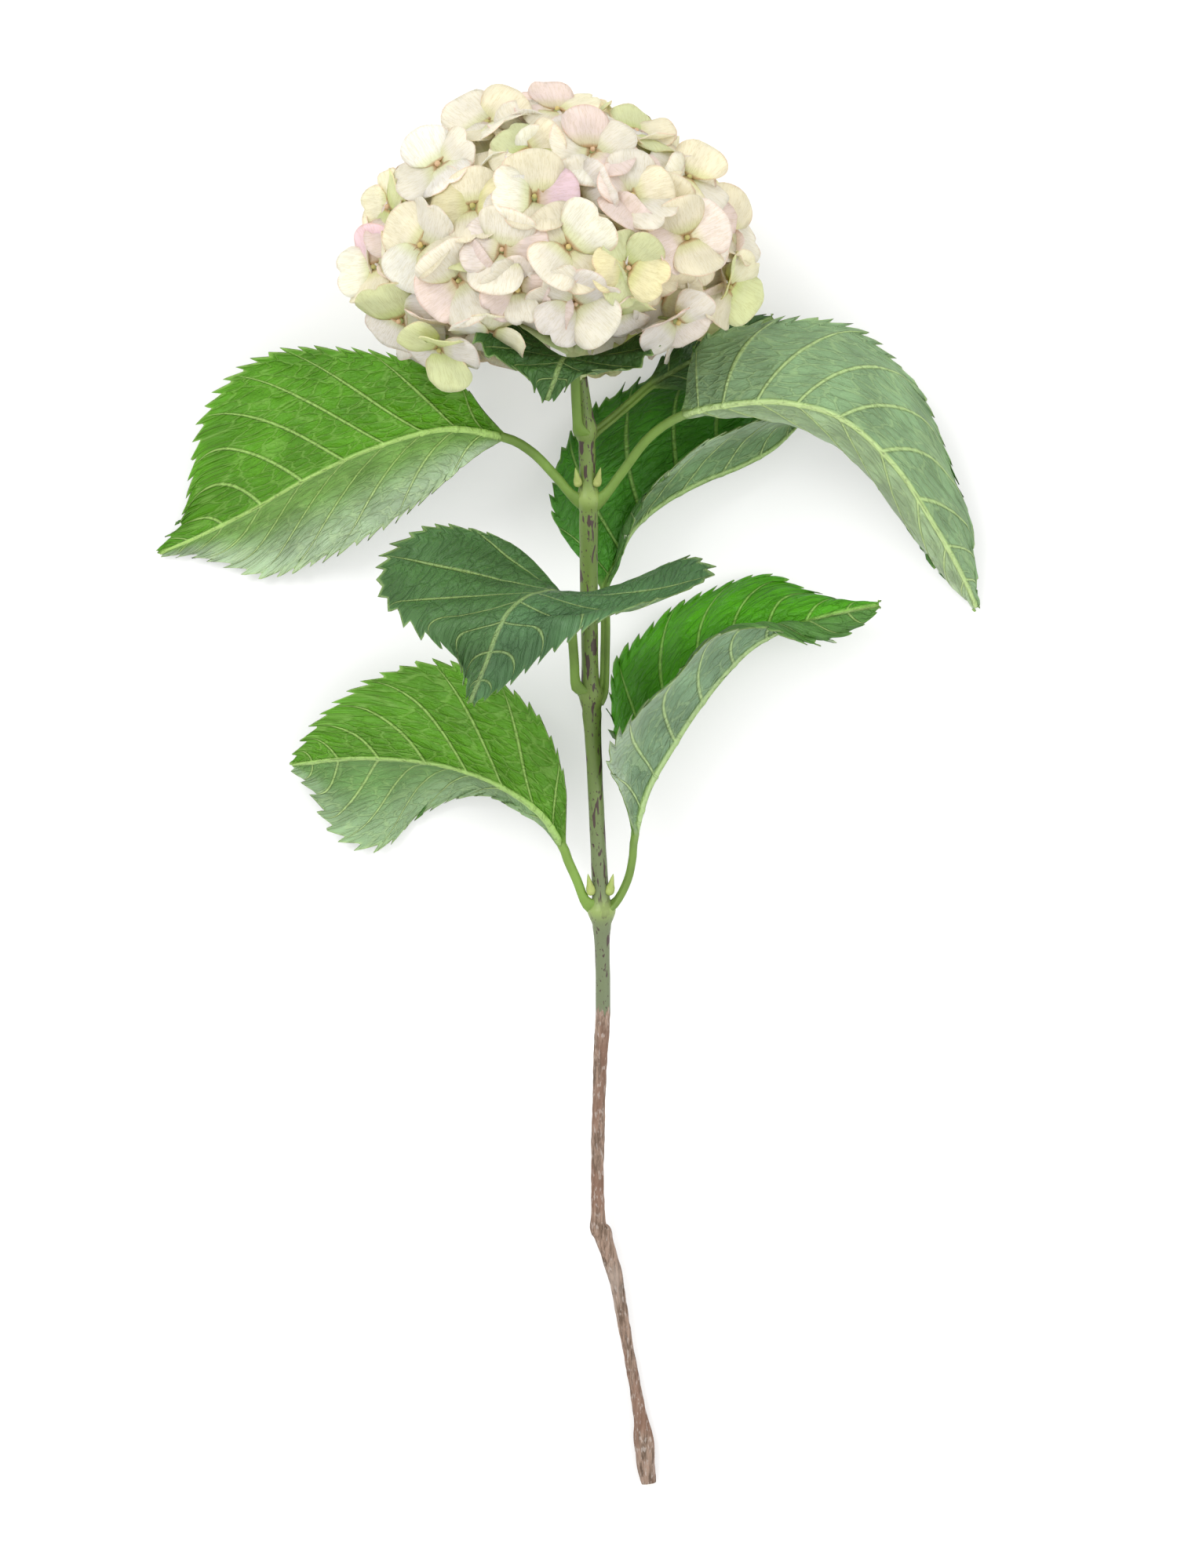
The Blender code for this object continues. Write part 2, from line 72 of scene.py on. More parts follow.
# Leaves, nearly as in the part: the petiole, the midrib, and the points of the blade's two margins between
# the midrib's ends. "unders" says of each half whether its underside looks up, "lift" which way the upper
# face lies, the painted sheen share how pale the second half grows outward, a painted sheen, and the greens
# are the colours of the two halves, each leaf's own green with the light and shade on that half painted in.
LEAVES = {
    "leaf_lower_left": {
        "petiole": [(7.1, -45, 30.5), (3.4, -36, 32), (-0.2, -28, 33)],
        "midrib": [(-3, -21, 34), (-12, -8, 37), (-28, 3, 40), (-45, 10, 41), (-64, 14, 39),
                   (-84, 15.5, 34), (-100, 15, 27), (-110, 13.8, 20), (-118, 13, 13)],
        "first": [(-2, 6, 35), (-14, 33, 31), (-36, 50, 27), (-59, 55, 24), (-83, 48, 21), (-102, 35, 17),
                  (-111, 24, 15)],
        "second": [(-15, -10, 27), (-31, -1, 17), (-46, 0, 8), (-62, -7, 5), (-80, -21, 5), (-98, -16, 8),
                   (-108, 1, 11)],
        "unders": (True, True), "lift": 1, "veins": 9, "painted_sheen_share": 0.35,
        "greens_with_painted_light": ((0.13, 0.36, 0.02), (0.205, 0.4, 0.12)),
    },
    "leaf_lower_right": {
        "petiole": [(19.7, -45, 30.5), (24.4, -36, 32), (26.4, -27, 33)],
        "midrib": [(27.5, -17, 34), (33, 2, 35), (42, 18, 35), (53, 35, 34), (66, 51.5, 32), (78, 63, 29),
                   (92, 70.5, 26), (107, 75.5, 22), (121, 79, 18), (132, 81, 15)],
        "first": [(20, 14, 27), (18, 38, 18), (22, 56, 12), (37, 72, 9), (57, 85, 8), (80, 92, 9),
                  (102, 87, 13), (117, 82.5, 15)],
        "second": [(22, 2, 43), (18.5, 15, 56), (26, 31, 64), (42, 47, 64), (58, 64.5, 57), (78, 70, 44),
                   (102, 65, 27), (119, 70, 18)],
        "unders": (False, True), "lift": 1, "veins": 9, "painted_sheen_share": 0.55,
        "greens_with_painted_light": ((0.085, 0.37, 0.004), (0.29, 0.45, 0.27)),
    },
    "leaf_middle_front": {
        "petiole": [(3, 47, 44), (2.2, 57, 47), (1.2, 70, 50.5)],
        "midrib": [(0, 82, 56), (-5, 86, 74), (-11, 85, 92), (-18, 82.5, 108), (-25, 76, 120),
                   (-30, 66, 122), (-34, 55, 115), (-38, 46, 106), (-41, 38.7, 98)],
        "first": [(-24, 106, 68), (-55, 112, 82), (-74, 100, 96), (-76, 84, 110), (-64, 71, 116),
                  (-48, 60, 112), (-42, 48, 104)],
        "second": [(22, 89, 66), (48, 99, 80), (58, 92, 92), (44, 83, 104), (14, 74, 114), (-8, 61, 112),
                   (-26, 47, 105)],
        "unders": (False, False), "lift": -1, "veins": 8,
        "greens_with_painted_light": ((0.09, 0.2, 0.066), (0.104, 0.225, 0.094)),
    },
    "leaf_middle_back": {
        "petiole": [(14.5, 46, 37.6), (15.2, 60, 35.4), (15.4, 74, 34.4)],
        "midrib": [(15, 88, 34), (19, 97, 32), (27, 113, 29), (41, 125, 26), (58, 134, 22), (73, 140, 19),
                   (86, 147, 16), (94, 154, 14), (99, 159, 12)],
        "first": [(0, 107, 27), (-6, 124, 19), (0, 150, 10), (19, 170, 5), (42, 179, 3), (70, 173, 6),
                  (90, 164, 10)],
        "second": [(20, 100, 36), (28, 120, 39), (40, 134, 41), (55, 147, 41), (71, 155, 36), (84, 158, 28),
                   (93, 159, 19)],
        "unders": (False, True), "lift": 1, "veins": 8, "painted_sheen_share": 0.5,
        "greens_with_painted_light": ((0.07, 0.285, 0.02), (0.22, 0.38, 0.17)),
    },
    "leaf_upper_left": {
        "petiole": [(2, 126, 54.2), (-6, 135, 55.5), (-16, 145, 57)],
        "midrib": [(-28, 151, 58), (-52, 154, 60), (-80, 147, 57), (-108, 135, 48), (-134, 121, 34),
                   (-157, 110.5, 17), (-175, 103.5, 3)],
        "first": [(-50, 176, 52), (-90, 187.5, 42), (-128, 185.5, 30), (-153, 163, 18), (-163, 122, 10)],
        "second": [(-52, 134, 40), (-78, 115.5, 26), (-104, 102.5, 13), (-129, 95.5, 5), (-155, 102, 5)],
        "unders": (True, True), "lift": 1, "veins": 10, "painted_sheen_share": 0.7,
        "greens_with_painted_light": ((0.11, 0.34, 0.008), (0.29, 0.54, 0.12)),
    },
    "leaf_upper_right": {
        "petiole": [(14.6, 126, 54.2), (23, 137, 56), (34, 151, 59)],
        "midrib": [(48, 160, 62), (66, 164, 67), (90, 165, 69), (115, 158, 66), (138, 138, 55),
                   (156, 112, 37), (167, 94, 19), (174, 80.5, 3)],
        "first": [(54, 190, 50), (82, 199, 45), (118, 198, 38), (147, 172, 28), (166, 130, 20),
                  (172, 103, 11)],
        "second": [(70, 161, 46), (93, 158, 36), (113, 149, 27), (131, 132, 18), (149, 107, 10),
                   (162, 91, 6)],
        "unders": (True, True), "lift": -1, "veins": 10, "painted_sheen_share": 0.6,
        "greens_with_painted_light": ((0.28, 0.44, 0.225), (0.5, 0.66, 0.38)),
    },
    "leaf_top_front": {
        "petiole": [(3.9, 155, 62.3), (3.2, 163, 65.4), (2.8, 171, 69)],
        "midrib": [(2.6, 177, 73), (2, 180.5, 83), (0, 182.5, 94), (-2, 182, 104), (-4, 178, 111),
                   (-6, 171.5, 113), (-9, 164, 110)],
        "first": [(-14, 193, 86), (-27, 200, 99), (-38, 199, 111), (-36, 186, 116), (-18, 175, 114)],
        "second": [(17, 186, 78), (28, 192, 87), (34, 187, 97), (28, 178, 105), (6, 174.5, 110)],
        "unders": (False, False), "lift": -1, "veins": 6,
        "greens_with_painted_light": ((0.062, 0.155, 0.034), (0.068, 0.16, 0.04)),
    },
    "leaf_top_back": {
        "petiole": [(10.6, 153, 52.3), (18, 159, 47), (27, 167, 41)],
        "midrib": [(35, 174, 36), (48, 182, 29), (61, 190, 20), (74, 198, 11), (87, 204, 4)],
        "first": [(40, 185, 27), (53, 195, 17), (68, 204, 8)],
        "second": [(56, 172, 27), (72, 178, 18), (83, 189, 9)],
        "unders": (False, False), "lift": 1, "veins": 5,
        "greens_with_painted_light": ((0.07, 0.17, 0.04), (0.08, 0.18, 0.05)),
    },
}

# Buds in the leaf axils, each with its base, its tip and its greatest radius.
BUDS = {
    "bud_lower_left": ((9.0, -39.0, 33.0), (7.6, -31.0, 35.6), 1.5),
    "bud_lower_right": ((17.6, -39.0, 32.4), (19.2, -31.0, 35.4), 1.5),
    "bud_upper_left": ((3.6, 133.0, 57.2), (2.4, 140.0, 60.4), 1.4),
    "bud_upper_right": ((12.2, 133.0, 57.0), (13.8, 140.0, 60.2), 1.4),
}

# The head's dome, as in the part: its half towards the stem is shorter, and sags on the left.
HEAD_CENTRE = Vector((-7.0, 226.0, 68.0))
HEAD_RADII = Vector((77.0, 63.0, 69.0))
HEAD_LOWER_RADIUS = 57.0
HEAD_SAG = 20.0
UNDER_SPREAD = 46  # directions spread over the whole dome, of which those below UNDER_TOP bear florets
UNDER_TOP = -0.13
UNDER_POLAR_END = math.radians(127)
HUB_CENTRE = Vector((3.0, 186.0, 61.0))
HUB_LINE = [(0.0, 3.1), (0.25, 3.2), (0.6, 3.7), (1.0, 4.3), (1.25, 4.0), (1.4, 2.8), (1.5, 0.6)]
BRANCH_STEPS = 14
KNOT_COUNT = 11
KNOT_REACH = 0.6
KNOT_RADIUS = 3.4
KNOT_LINE = [(-0.55, 1.7), (-0.2, 2.5), (0.2, 2.7), (0.6, 1.9), (0.8, 0.5)]
STALK_GAP = 0.4
PRESS = 3.0  # how gradually the florets bend flat against the table

# Sepal colours, and the florets of the head's upper side: where each one's centre is, seen from above, how
# long its sepals are in millimetres and the colours that they take in turn.
# The lime and the gold tints are painted shade: the colours of sepals that lie in the head's shade.
TINTS = {
    "cream": (0.935, 0.9, 0.76), "blush": (0.95, 0.855, 0.83), "green": (0.83, 0.87, 0.57),
    "rose": (0.945, 0.78, 0.86), "white": (0.945, 0.925, 0.855), "shade_lime": (0.75, 0.79, 0.38),
    "shade_gold": (0.9, 0.865, 0.62), "moss": (0.71, 0.775, 0.47), "milk": (0.94, 0.915, 0.895),
}
UPPER_FLORETS = [
    ((-5, 286), 18, ("blush", "cream")), ((-34, 281), 18, ("cream", "white")),
    ((29, 279), 17.5, ("cream", "green")), ((-17, 268), 16.5, ("cream", "green")),
    ((10, 268), 19.5, ("white", "blush")), ((-54, 262), 19, ("white", "milk")),
    ((51, 259), 18.5, ("white", "cream")), ((-76, 246), 17.5, ("cream", "green")),
    ((27, 249), 18.5, ("blush", "white", "cream", "white")), ((-40, 244), 17.5, ("cream", "shade_gold")),
    ((-14, 247), 19, ("cream", "white", "cream", "rose")), ((70, 238), 18, ("cream", "white")),
    ((-61, 228), 19, ("white", "cream")), ((48, 231), 18.5, ("blush", "cream")),
    ((-27, 225), 18.5, ("white", "blush")), ((0, 226), 19.5, ("cream", "white")),
    ((-80, 220), 18, ("cream", "rose", "white", "cream")), ((24, 218), 16.5, ("green", "shade_gold")),
    ((-46, 212), 18.5, ("white", "blush")), ((67, 213), 17.5, ("cream", "green")),
    ((46, 196), 17.5, ("blush", "milk")), ((-21, 209), 15, ("blush", "white")),
    ((3, 203), 19.5, ("white", "milk")), ((-70, 196), 19, ("milk", "green")),
    ((-54, 183), 18.5, ("green", "milk")),
]
# The lime tint among these is painted shade.
UNDER_TINTS = [
    ("cream", "green"), ("moss", "green"), ("cream", "milk"), ("green", "shade_lime"), ("white", "cream"),
]
UNDER_SEPAL = 16.5
UPPER_TILT = 0.16
UNDER_TILT = 0.22
OUTER_SEED = 900
RIM_TOP = 216.0  # the florets of the dome's rim, nearer the stem than this, look more and more towards it
RIM_LEAN = 0.05
VIEW_LEAN = 0.4  # how much more the upper florets look up than the dome does
INNER_SPREAD = 84
INNER_SHARE = 0.91
INNER_GROUPS = 6
INNER_SEPAL = 16.5
INNER_TILT = 0.3
INNER_SEED = 3000
SEPAL_SEGMENTS = 8
INNER_SEPAL_SEGMENTS = 5
SEPAL_COUNTS = (4, 4, 4, 4, 4, 5, 3)
SEPAL_WIDTHS = {3: 1.4, 4: 1.24, 5: 1.05}  # the fewer, the wider
PETAL_LAYERS = ("out", "edge", "side", "petal", "flesh")
BEAD_TINTS = ((0.78, 0.66, 0.30), (0.66, 0.62, 0.26), (0.80, 0.60, 0.40))

# How finely a leaf is cut up, the teeth of its margin, and the colours that are the same on every leaf.
PETIOLE_ROWS = 14
ROWS_PER_VEIN = 18
LEAF_COLUMNS = 20
TOOTH_LENGTH = 7.5  # along the margin
TOOTH_PEAK = 0.8  # the share of a tooth's length that rises
# The pale colour that a half fades to outward: a painted sheen.
PALE_SHEEN = (0.66, 0.76, 0.62)
HIDDEN_UPPER = (0.10, 0.25, 0.05)
HIDDEN_UNDER = (0.22, 0.36, 0.17)

# An axil bud's radius along its length, and how long and thick its core and its two pairs of scales are.
BUD_PROFILE = [(0.0, 0.5), (0.12, 0.82), (0.3, 1.0), (0.5, 0.92), (0.7, 0.66), (0.88, 0.34), (1.0, 0.06)]
BUD_SCALES = [(1.0, 0.86), (0.72, 1.0), (0.5, 1.1)]
BUD_SIDES = 16

# The stem's leaf nodes: how far along Y each one is, how far it stands out and how yellow its collar is.
NODES = [(-50.0, 0.9, 1.0), (41.0, 0.7, 0.4), (124.0, 0.7, 1.0), (153.0, 0.5, 0.5)]
BARK_TOP = -91.0

# Where along Y the stem's scar and stub are, and how wide.
SCAR = (-117.0, 3.0)
STUB = (-184.0, 4.0)

# The stem's cut end: the size, depth and paleness of the rings that close it.
CUT_RINGS = [(0.1, 0.8, 0.5), (0.24, 0.7, 0.5), (0.3, 0.0, 1.0), (0.86, -0.15, 1.0)]

# The stage: the camera's sensor in millimetres, and each lamp's name, place, size and power.
SENSOR = 36.0
WORLD_STRENGTH = 1.1
TABLE_HALF = 12
LAMPS = [("key", (-1.5, 1.6, 2.6), 1.6, 45.0), ("fill", (2.2, 0.2, 2.4), 2.0, 22.0)]


# Settings


def length_setting(name, description, default, least=0.0):
    return FloatProperty(name=name, description=description, default=default, min=least, unit="LENGTH")


def colour_setting(name, description, default):
    return FloatVectorProperty(
        name=name, description=description, subtype="COLOR", default=default, min=0, max=1,
    )


class StemSettings(bpy.types.PropertyGroup):
    """Sizes and colours of the stem and the flower stalks."""

    step: length_setting("Ring spacing", "Distance between the stem's rings", 0.0012, 0.0005)
    sides: IntProperty(name="Sides", description="Points round the stem", default=40, min=12, max=96)
    furrow: length_setting("Bark furrows", "Depth of the furrows in the bark", 0.00045)
    green: colour_setting("Green", "Colour of the young stem", (0.105, 0.175, 0.028))
    spots: colour_setting("Spots", "Colour of the long spots on the young stem", (0.055, 0.028, 0.028))
    bark: colour_setting("Bark", "Colour of the old wood", (0.31, 0.215, 0.160))


class LeafSettings(bpy.types.PropertyGroup):
    """Sizes and colours of the leaves."""

    thickness: length_setting("Thickness", "Thickness of the blade", 0.0005, 0.0002)
    tooth: length_setting("Teeth", "How far the teeth of the margin stand out", 0.0047)
    quilting: length_setting("Quilting", "How far the blade swells between its side veins", 0.0013)
    ruffle: length_setting("Ruffle", "How far the margin waves", 0.0032)
    petiole: colour_setting("Petiole", "Colour of the leaf stalks", (0.215, 0.345, 0.070))


class FloretSettings(bpy.types.PropertyGroup):
    """Sizes and colours of the florets."""

    thickness: length_setting("Sepal thickness", "Thickness of a sepal", 0.00035, 0.0001)
    cup: FloatProperty(
        name="Cup", description="How far a sepal's tip rises, as a share of its length",
        default=0.1, min=-1, max=1,
    )
    ripple: length_setting("Ripple", "How far a sepal's edge waves", 0.0011)
    bead: length_setting("Bead", "Radius of the closed bud in a floret's middle", 0.0012, 0.0005)
    pedicel: colour_setting("Pedicels", "Colour of the florets' own stalks", (0.50, 0.56, 0.24))


class StageSettings(bpy.types.PropertyGroup):
    """The table, the light and the camera."""

    aim: FloatVectorProperty(
        name="Aim", description="Where the camera looks straight down", subtype="TRANSLATION",
        default=(0.00825, 0.0048, 0.06),
    )
    view_height: length_setting("View height", "Length shown from top to bottom", 0.66, 0.1)
    lens: FloatProperty(
        name="Lens", description="Focal length in millimetres", default=200.0, min=10, unit="CAMERA",
    )
    table: colour_setting("Table", "Colour of the table", (0.62, 0.62, 0.615))
    glow: FloatProperty(
        name="Glow", description="How strongly the light table shines", default=0.36, min=0, max=2,
    )


# Curves and solids


def along(points, share):
    """The point at this share of a smooth curve through the points."""
    at = min(max(share, 0), 1) * (len(points) - 1)
    i = min(int(at), len(points) - 2)
    t = at - i
    b, c = Vector(points[i]), Vector(points[i + 1])
    a = Vector(points[i - 1]) if i > 0 else 2 * b - c
    d = Vector(points[i + 2]) if i + 2 < len(points) else 2 * c - b
    bend = (2 * a - 5 * b + 4 * c - d) * (t * t / 2) + (3 * b - a - 3 * c + d) * (t**3 / 2)
    return b + (c - a) * (t / 2) + bend


def across(vector, direction):
    """The vector without its part along the direction, at length 1."""
    direction = direction.normalized()
    return (vector - direction * vector.dot(direction)).normalized()


def eased(value, low, high):
    """0 below low and 1 above high, with a smooth step between."""
    t = min(max((value - low) / (high - low), 0.0), 1.0)
    return t * t * (3 - 2 * t)


def hump(value, middle, width):
    return math.exp(-(((value - middle) / width) ** 2))


def spokes(axis, sides):
    """Unit directions round an axis."""
    first = across(Vector((1, 0.01, 0.02)) if abs(axis.normalized().x) < 0.9 else Vector((0, 0, 1)), axis)
    second = axis.normalized().cross(first)
    angles = [2 * math.pi * k / sides for k in range(sides)]
    return [math.cos(angle) * first + math.sin(angle) * second for angle in angles]


def tube(line, sides):
    """Rings round a centre line of (point, radius)."""
    centres = [Vector(point) for point, _ in line]
    rings = []
    for i, (_, radius) in enumerate(line):
        axis = centres[min(i + 1, len(line) - 1)] - centres[max(i - 1, 0)]
        rings.append([centres[i] + spoke * radius for spoke in spokes(axis, sides)])
    return rings


def add_solid(bm, rings, marks=None):
    """Adds a closed solid: a filled circle on the first ring, extruded from ring to ring. marks holds, for
    some of the mesh's point layers, one value for each ring."""
    marks = marks or {}
    order = bm.verts.layers.int.get("order") or bm.verts.layers.int.new("order")
    circle = bmesh.ops.create_circle(bm, cap_ends=True, radius=1, segments=len(rings[0]))["verts"]
    for k, vert in enumerate(circle):
        vert[order] = k
        vert.co = rings[0][k]
        for layer, values in marks.items():
            vert[layer] = values[0]
    cap = circle[0].link_faces[0]
    for i, places in enumerate(rings[1:], 1):
        grown = bmesh.ops.extrude_face_region(bm, geom=[cap])["geom"]
        if i > 1:
            bmesh.ops.delete(bm, geom=[cap], context="FACES_ONLY")
        cap = next(item for item in grown if isinstance(item, bmesh.types.BMFace))
        for vert in cap.verts:
            vert.co = places[vert[order]]
            for layer, values in marks.items():
                vert[layer] = values[i]


def pressed(point):
    """The point, raised where it would be under the table, as a petal bends where the head rests."""
    x, y, z = point
    return Vector((x, y, PRESS * math.log1p(math.exp(z / PRESS)))) if z < 30 else point


def piece_from(bm, name, material, slot, *replaced):
    """Makes the bmesh one piece in metres, with its faces outward, which rides on the body."""
    order = bm.verts.layers.int.get("order")
    if order:
        bm.verts.layers.int.remove(order)
    bmesh.ops.recalc_face_normals(bm, faces=bm.faces)
    bmesh.ops.scale(bm, vec=(MM, MM, MM), verts=bm.verts)
    mesh = bpy.data.meshes.new(name)
    bm.to_mesh(mesh)
    bm.free()
    mesh.shade_smooth()
    mesh.materials.append(material)
    piece = bpy.data.objects.new(name, mesh)
    bpy.context.scene.collection.objects.link(piece)
    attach(piece, BODY)
    if replaced:
        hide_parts(*replaced)
    return piece


# Materials


def put(tree, kind, inputs=None, **settings):
    """Adds a node, with its settings and its inputs: a socket is linked, and anything else is a value."""
    made = tree.nodes.new(kind)
    for key, value in settings.items():
        setattr(made, key, value)
    for key, value in (inputs or {}).items():
        if isinstance(value, bpy.types.NodeSocket):
            tree.links.new(value, made.inputs[key])
        else:
            made.inputs[key].default_value = value
    return made


def maths(tree, operation, *values):
    return put(tree, "ShaderNodeMath", dict(enumerate(values)), operation=operation).outputs[0]


def product(tree, first, second):
    return maths(tree, "MULTIPLY", first, second)


def vector_maths(tree, operation, *values):
    return put(tree, "ShaderNodeVectorMath", dict(enumerate(values)), operation=operation).outputs[0]


def mixed(tree, share, first, second, blend="MIX"):
    """A colour between two, or the second blended over the first."""
    inputs = {0: share, 6: first, 7: second}
    return put(tree, "ShaderNodeMix", inputs, data_type="RGBA", blend_type=blend).outputs[2]


def stepped(tree, value, low, high, start=0.0, end=1.0):
    """The value taken smoothly from low..high to start..end."""
    inputs = {0: value, 1: low, 2: high, 3: start, 4: end}
    return put(tree, "ShaderNodeMapRange", inputs, interpolation_type="SMOOTHSTEP").outputs[0]


def attribute(tree, name, output="Fac"):
    return put(tree, "ShaderNodeAttribute", attribute_name=name).outputs[output]


def noise_of(tree, vector, scale, detail=3.0, roughness=0.55):
    inputs = {"Vector": vector, "Scale": scale, "Detail": detail, "Roughness": roughness}
    return put(tree, "ShaderNodeTexNoise", inputs).outputs["Fac"]


def cells_of(tree, vector, scale):
    """The distance to the edges of a pattern of cells."""
    inputs = {"Vector": vector, "Scale": scale}
    return put(tree, "ShaderNodeTexVoronoi", inputs, feature="DISTANCE_TO_EDGE").outputs["Distance"]


def joined(tree, x, y, z):
    return put(tree, "ShaderNodeCombineXYZ", {0: x, 1: y, 2: z}).outputs[0]


def object_point(tree, stretch=(1.0, 1.0, 1.0)):
    point = put(tree, "ShaderNodeTexCoord").outputs["Object"]
    return put(tree, "ShaderNodeMapping", {"Vector": point, "Scale": stretch}).outputs[0]


def new_group(name, inputs, outputs):
    """A node group with these float sockets, its tree, its inputs and its output node."""
    tree = bpy.data.node_groups.new(name, "ShaderNodeTree")
    for label, default in inputs:
        made = tree.interface.new_socket(label, in_out="INPUT", socket_type="NodeSocketFloat")
        made.default_value = default
    for label in outputs:
        tree.interface.new_socket(label, in_out="OUTPUT", socket_type="NodeSocketFloat")
    return tree, tree.nodes.new("NodeGroupInput").outputs, tree.nodes.new("NodeGroupOutput").inputs


def placed(tree, group, **inputs):
    made = tree.nodes.new("ShaderNodeGroup")
    made.node_tree = group
    for label, value in inputs.items():
        made.inputs[label.replace("_", " ")].default_value = value
    return made.outputs


def mottle_group():
    """Soft patches at one scale and fine specks at ten times that, both about 0.5."""
    group = bpy.data.node_groups.get("Mottle")
    if group:
        return group
    group, given, made = new_group("Mottle", [("Scale", 60.0), ("Stretch", 1.0)], ["Patches", "Specks"])
    point = put(group, "ShaderNodeTexCoord").outputs["Object"]
    stretch = joined(group, 1.0, given["Stretch"], 1.0)
    point = vector_maths(group, "MULTIPLY", point, stretch)
    group.links.new(noise_of(group, point, given["Scale"]), made["Patches"])
    fine = product(group, given["Scale"], 10.0)
    group.links.new(noise_of(group, point, fine, 2.0), made["Specks"])
    return group


def vein_group():
    """The veins of a leaf from its own attributes: the midrib and side veins, the net between them, and the
    height of both."""
    group = bpy.data.node_groups.get("Leaf veins")
    if group:
        return group
    outputs = ["Main", "Net", "Fine", "Height"]
    group, given, made = new_group("Leaf veins", [("Width", 0.07), ("Net", 0.1)], outputs)
    rib, reach = attribute(group, "rib"), attribute(group, "reach")
    distance = attribute(group, "off")
    share = maths(group, "ABSOLUTE", reach)
    to_vein = maths(group, "ABSOLUTE", maths(group, "SUBTRACT", rib, maths(group, "ROUND", rib)))
    taper = product(group, given["Width"], stepped(group, share, 0.55, 1.0, 1.0, 0.35))
    side = maths(group, "SUBTRACT", 1.0, stepped(group, maths(group, "DIVIDE", to_vein, taper), 0.25, 1.0))
    side = product(group, side, stepped(group, share, 0.9, 1.0, 1.0, 0.2))
    midrib = stepped(group, distance, 0.5, 1.5, 1.0, 0.0)
    main = maths(group, "MAXIMUM", side, midrib)
    half = product(group, maths(group, "SIGN", reach), 40.0)
    place = joined(group, product(group, rib, 1.9), product(group, distance, 0.27), half)
    warp = put(group, "ShaderNodeTexNoise", {"Vector": place, "Scale": 0.8, "Detail": 2.0}).outputs["Color"]
    warp = vector_maths(group, "SUBTRACT", warp, (0.5, 0.5, 0.5))
    warp = vector_maths(group, "MULTIPLY", warp, (0.9, 0.9, 0.0))
    place = vector_maths(group, "ADD", place, warp)
    cells = cells_of(group, place, 1.0)
    net = stepped(group, maths(group, "DIVIDE", cells, given["Net"]), 0.2, 1.0, 1.0, 0.0)
    fine = stepped(group, cells_of(group, place, 3.1), 0.03, 0.22, 1.0, 0.0)
    group.links.new(main, made["Main"])
    group.links.new(net, made["Net"])
    group.links.new(fine, made["Fine"])
    pillows = stepped(group, cells, 0.0, 0.45, 0.55, 0.0)
    height = maths(group, "ADD", main, maths(group, "ADD", product(group, net, 0.35), pillows))
    group.links.new(maths(group, "ADD", height, product(group, fine, 0.18)), made["Height"])
    return group


def blank_material(name):
    made = bpy.data.materials.new(name)
    made.use_nodes = True
    return made, made.node_tree, made.node_tree.nodes["Principled BSDF"]


def bumped(tree, height, strength, distance):
    inputs = {"Height": height, "Strength": strength, "Distance": distance}
    return put(tree, "ShaderNodeBump", inputs).outputs[0]


def let_light_through(tree, shader, colour, normal, share):
    """Mixes a translucent shader into the surface, as light shines through a leaf or a petal."""
    through = put(tree, "ShaderNodeBsdfTranslucent", {"Color": colour, "Normal": normal}).outputs[0]
    both = put(tree, "ShaderNodeMixShader", {0: share, 1: shader.outputs[0], 2: through}).outputs[0]
    tree.links.new(both, tree.nodes["Material Output"].inputs["Surface"])


def leaf_material():
    """Veined green, glossier above than beneath, with paler veins that stand out of the underside."""
    made, tree, shader = blank_material("leaf green")
    veins = placed(tree, vein_group())
    mottle = placed(tree, mottle_group(), Scale=45.0)
    under, blade = attribute(tree, "under"), attribute(tree, "blade")
    # The tint of faces that look up holds each half's green with painted light and shade, and its painted
    # sheen.
    tint = attribute(tree, "tint", "Color")
    patches = stepped(tree, mottle["Patches"], 0.3, 0.7, 0.80, 1.16)
    colour = mixed(tree, 1.0, tint, joined(tree, patches, patches, patches), "MULTIPLY")
    pale = mixed(tree, 0.55, mixed(tree, 1.0, tint, (1.6, 1.5, 1.4, 1), "MULTIPLY"), (0.56, 0.70, 0.28, 1))
    dark = mixed(tree, 1.0, tint, (0.55, 0.66, 0.5, 1), "MULTIPLY")
    net_share = product(tree, veins["Net"], product(tree, blade, 0.24))
    colour = mixed(tree, net_share, colour, mixed(tree, under, dark, pale))
    fine_share = product(tree, veins["Fine"], product(tree, blade, 0.12))
    colour = mixed(tree, fine_share, colour, dark)
    main_share = product(tree, veins["Main"], stepped(tree, under, 0.0, 1.0, 0.7, 0.95))
    colour = mixed(tree, product(tree, main_share, blade), colour, pale)
    speck = stepped(tree, mottle["Specks"], 0.68, 0.78, 0.0, 0.2)
    colour = mixed(tree, speck, colour, (0.30, 0.26, 0.08, 1))
    rim = stepped(tree, maths(tree, "ABSOLUTE", attribute(tree, "reach")), 0.975, 1.0, 0.0, 0.6)
    colour = mixed(tree, product(tree, rim, blade), colour, pale)
    way = stepped(tree, under, 0.0, 1.0, -1.0, 1.0)
    height = product(tree, product(tree, veins["Height"], way), blade)
    height = maths(tree, "ADD", height, product(tree, mottle["Specks"], 0.25))
    normal = bumped(tree, height, 1.0, 0.0010)
    roughness = stepped(tree, under, 0.0, 1.0, 0.40, 0.5)
    tree.links.new(colour, shader.inputs["Base Color"])
    tree.links.new(roughness, shader.inputs["Roughness"])
    tree.links.new(normal, shader.inputs["Normal"])
    shader.inputs["Specular IOR Level"].default_value = 0.4
    let_light_through(tree, shader, mixed(tree, 1.0, colour, (1.5, 1.5, 0.5, 1), "MULTIPLY"), normal, 0.3)
    return made


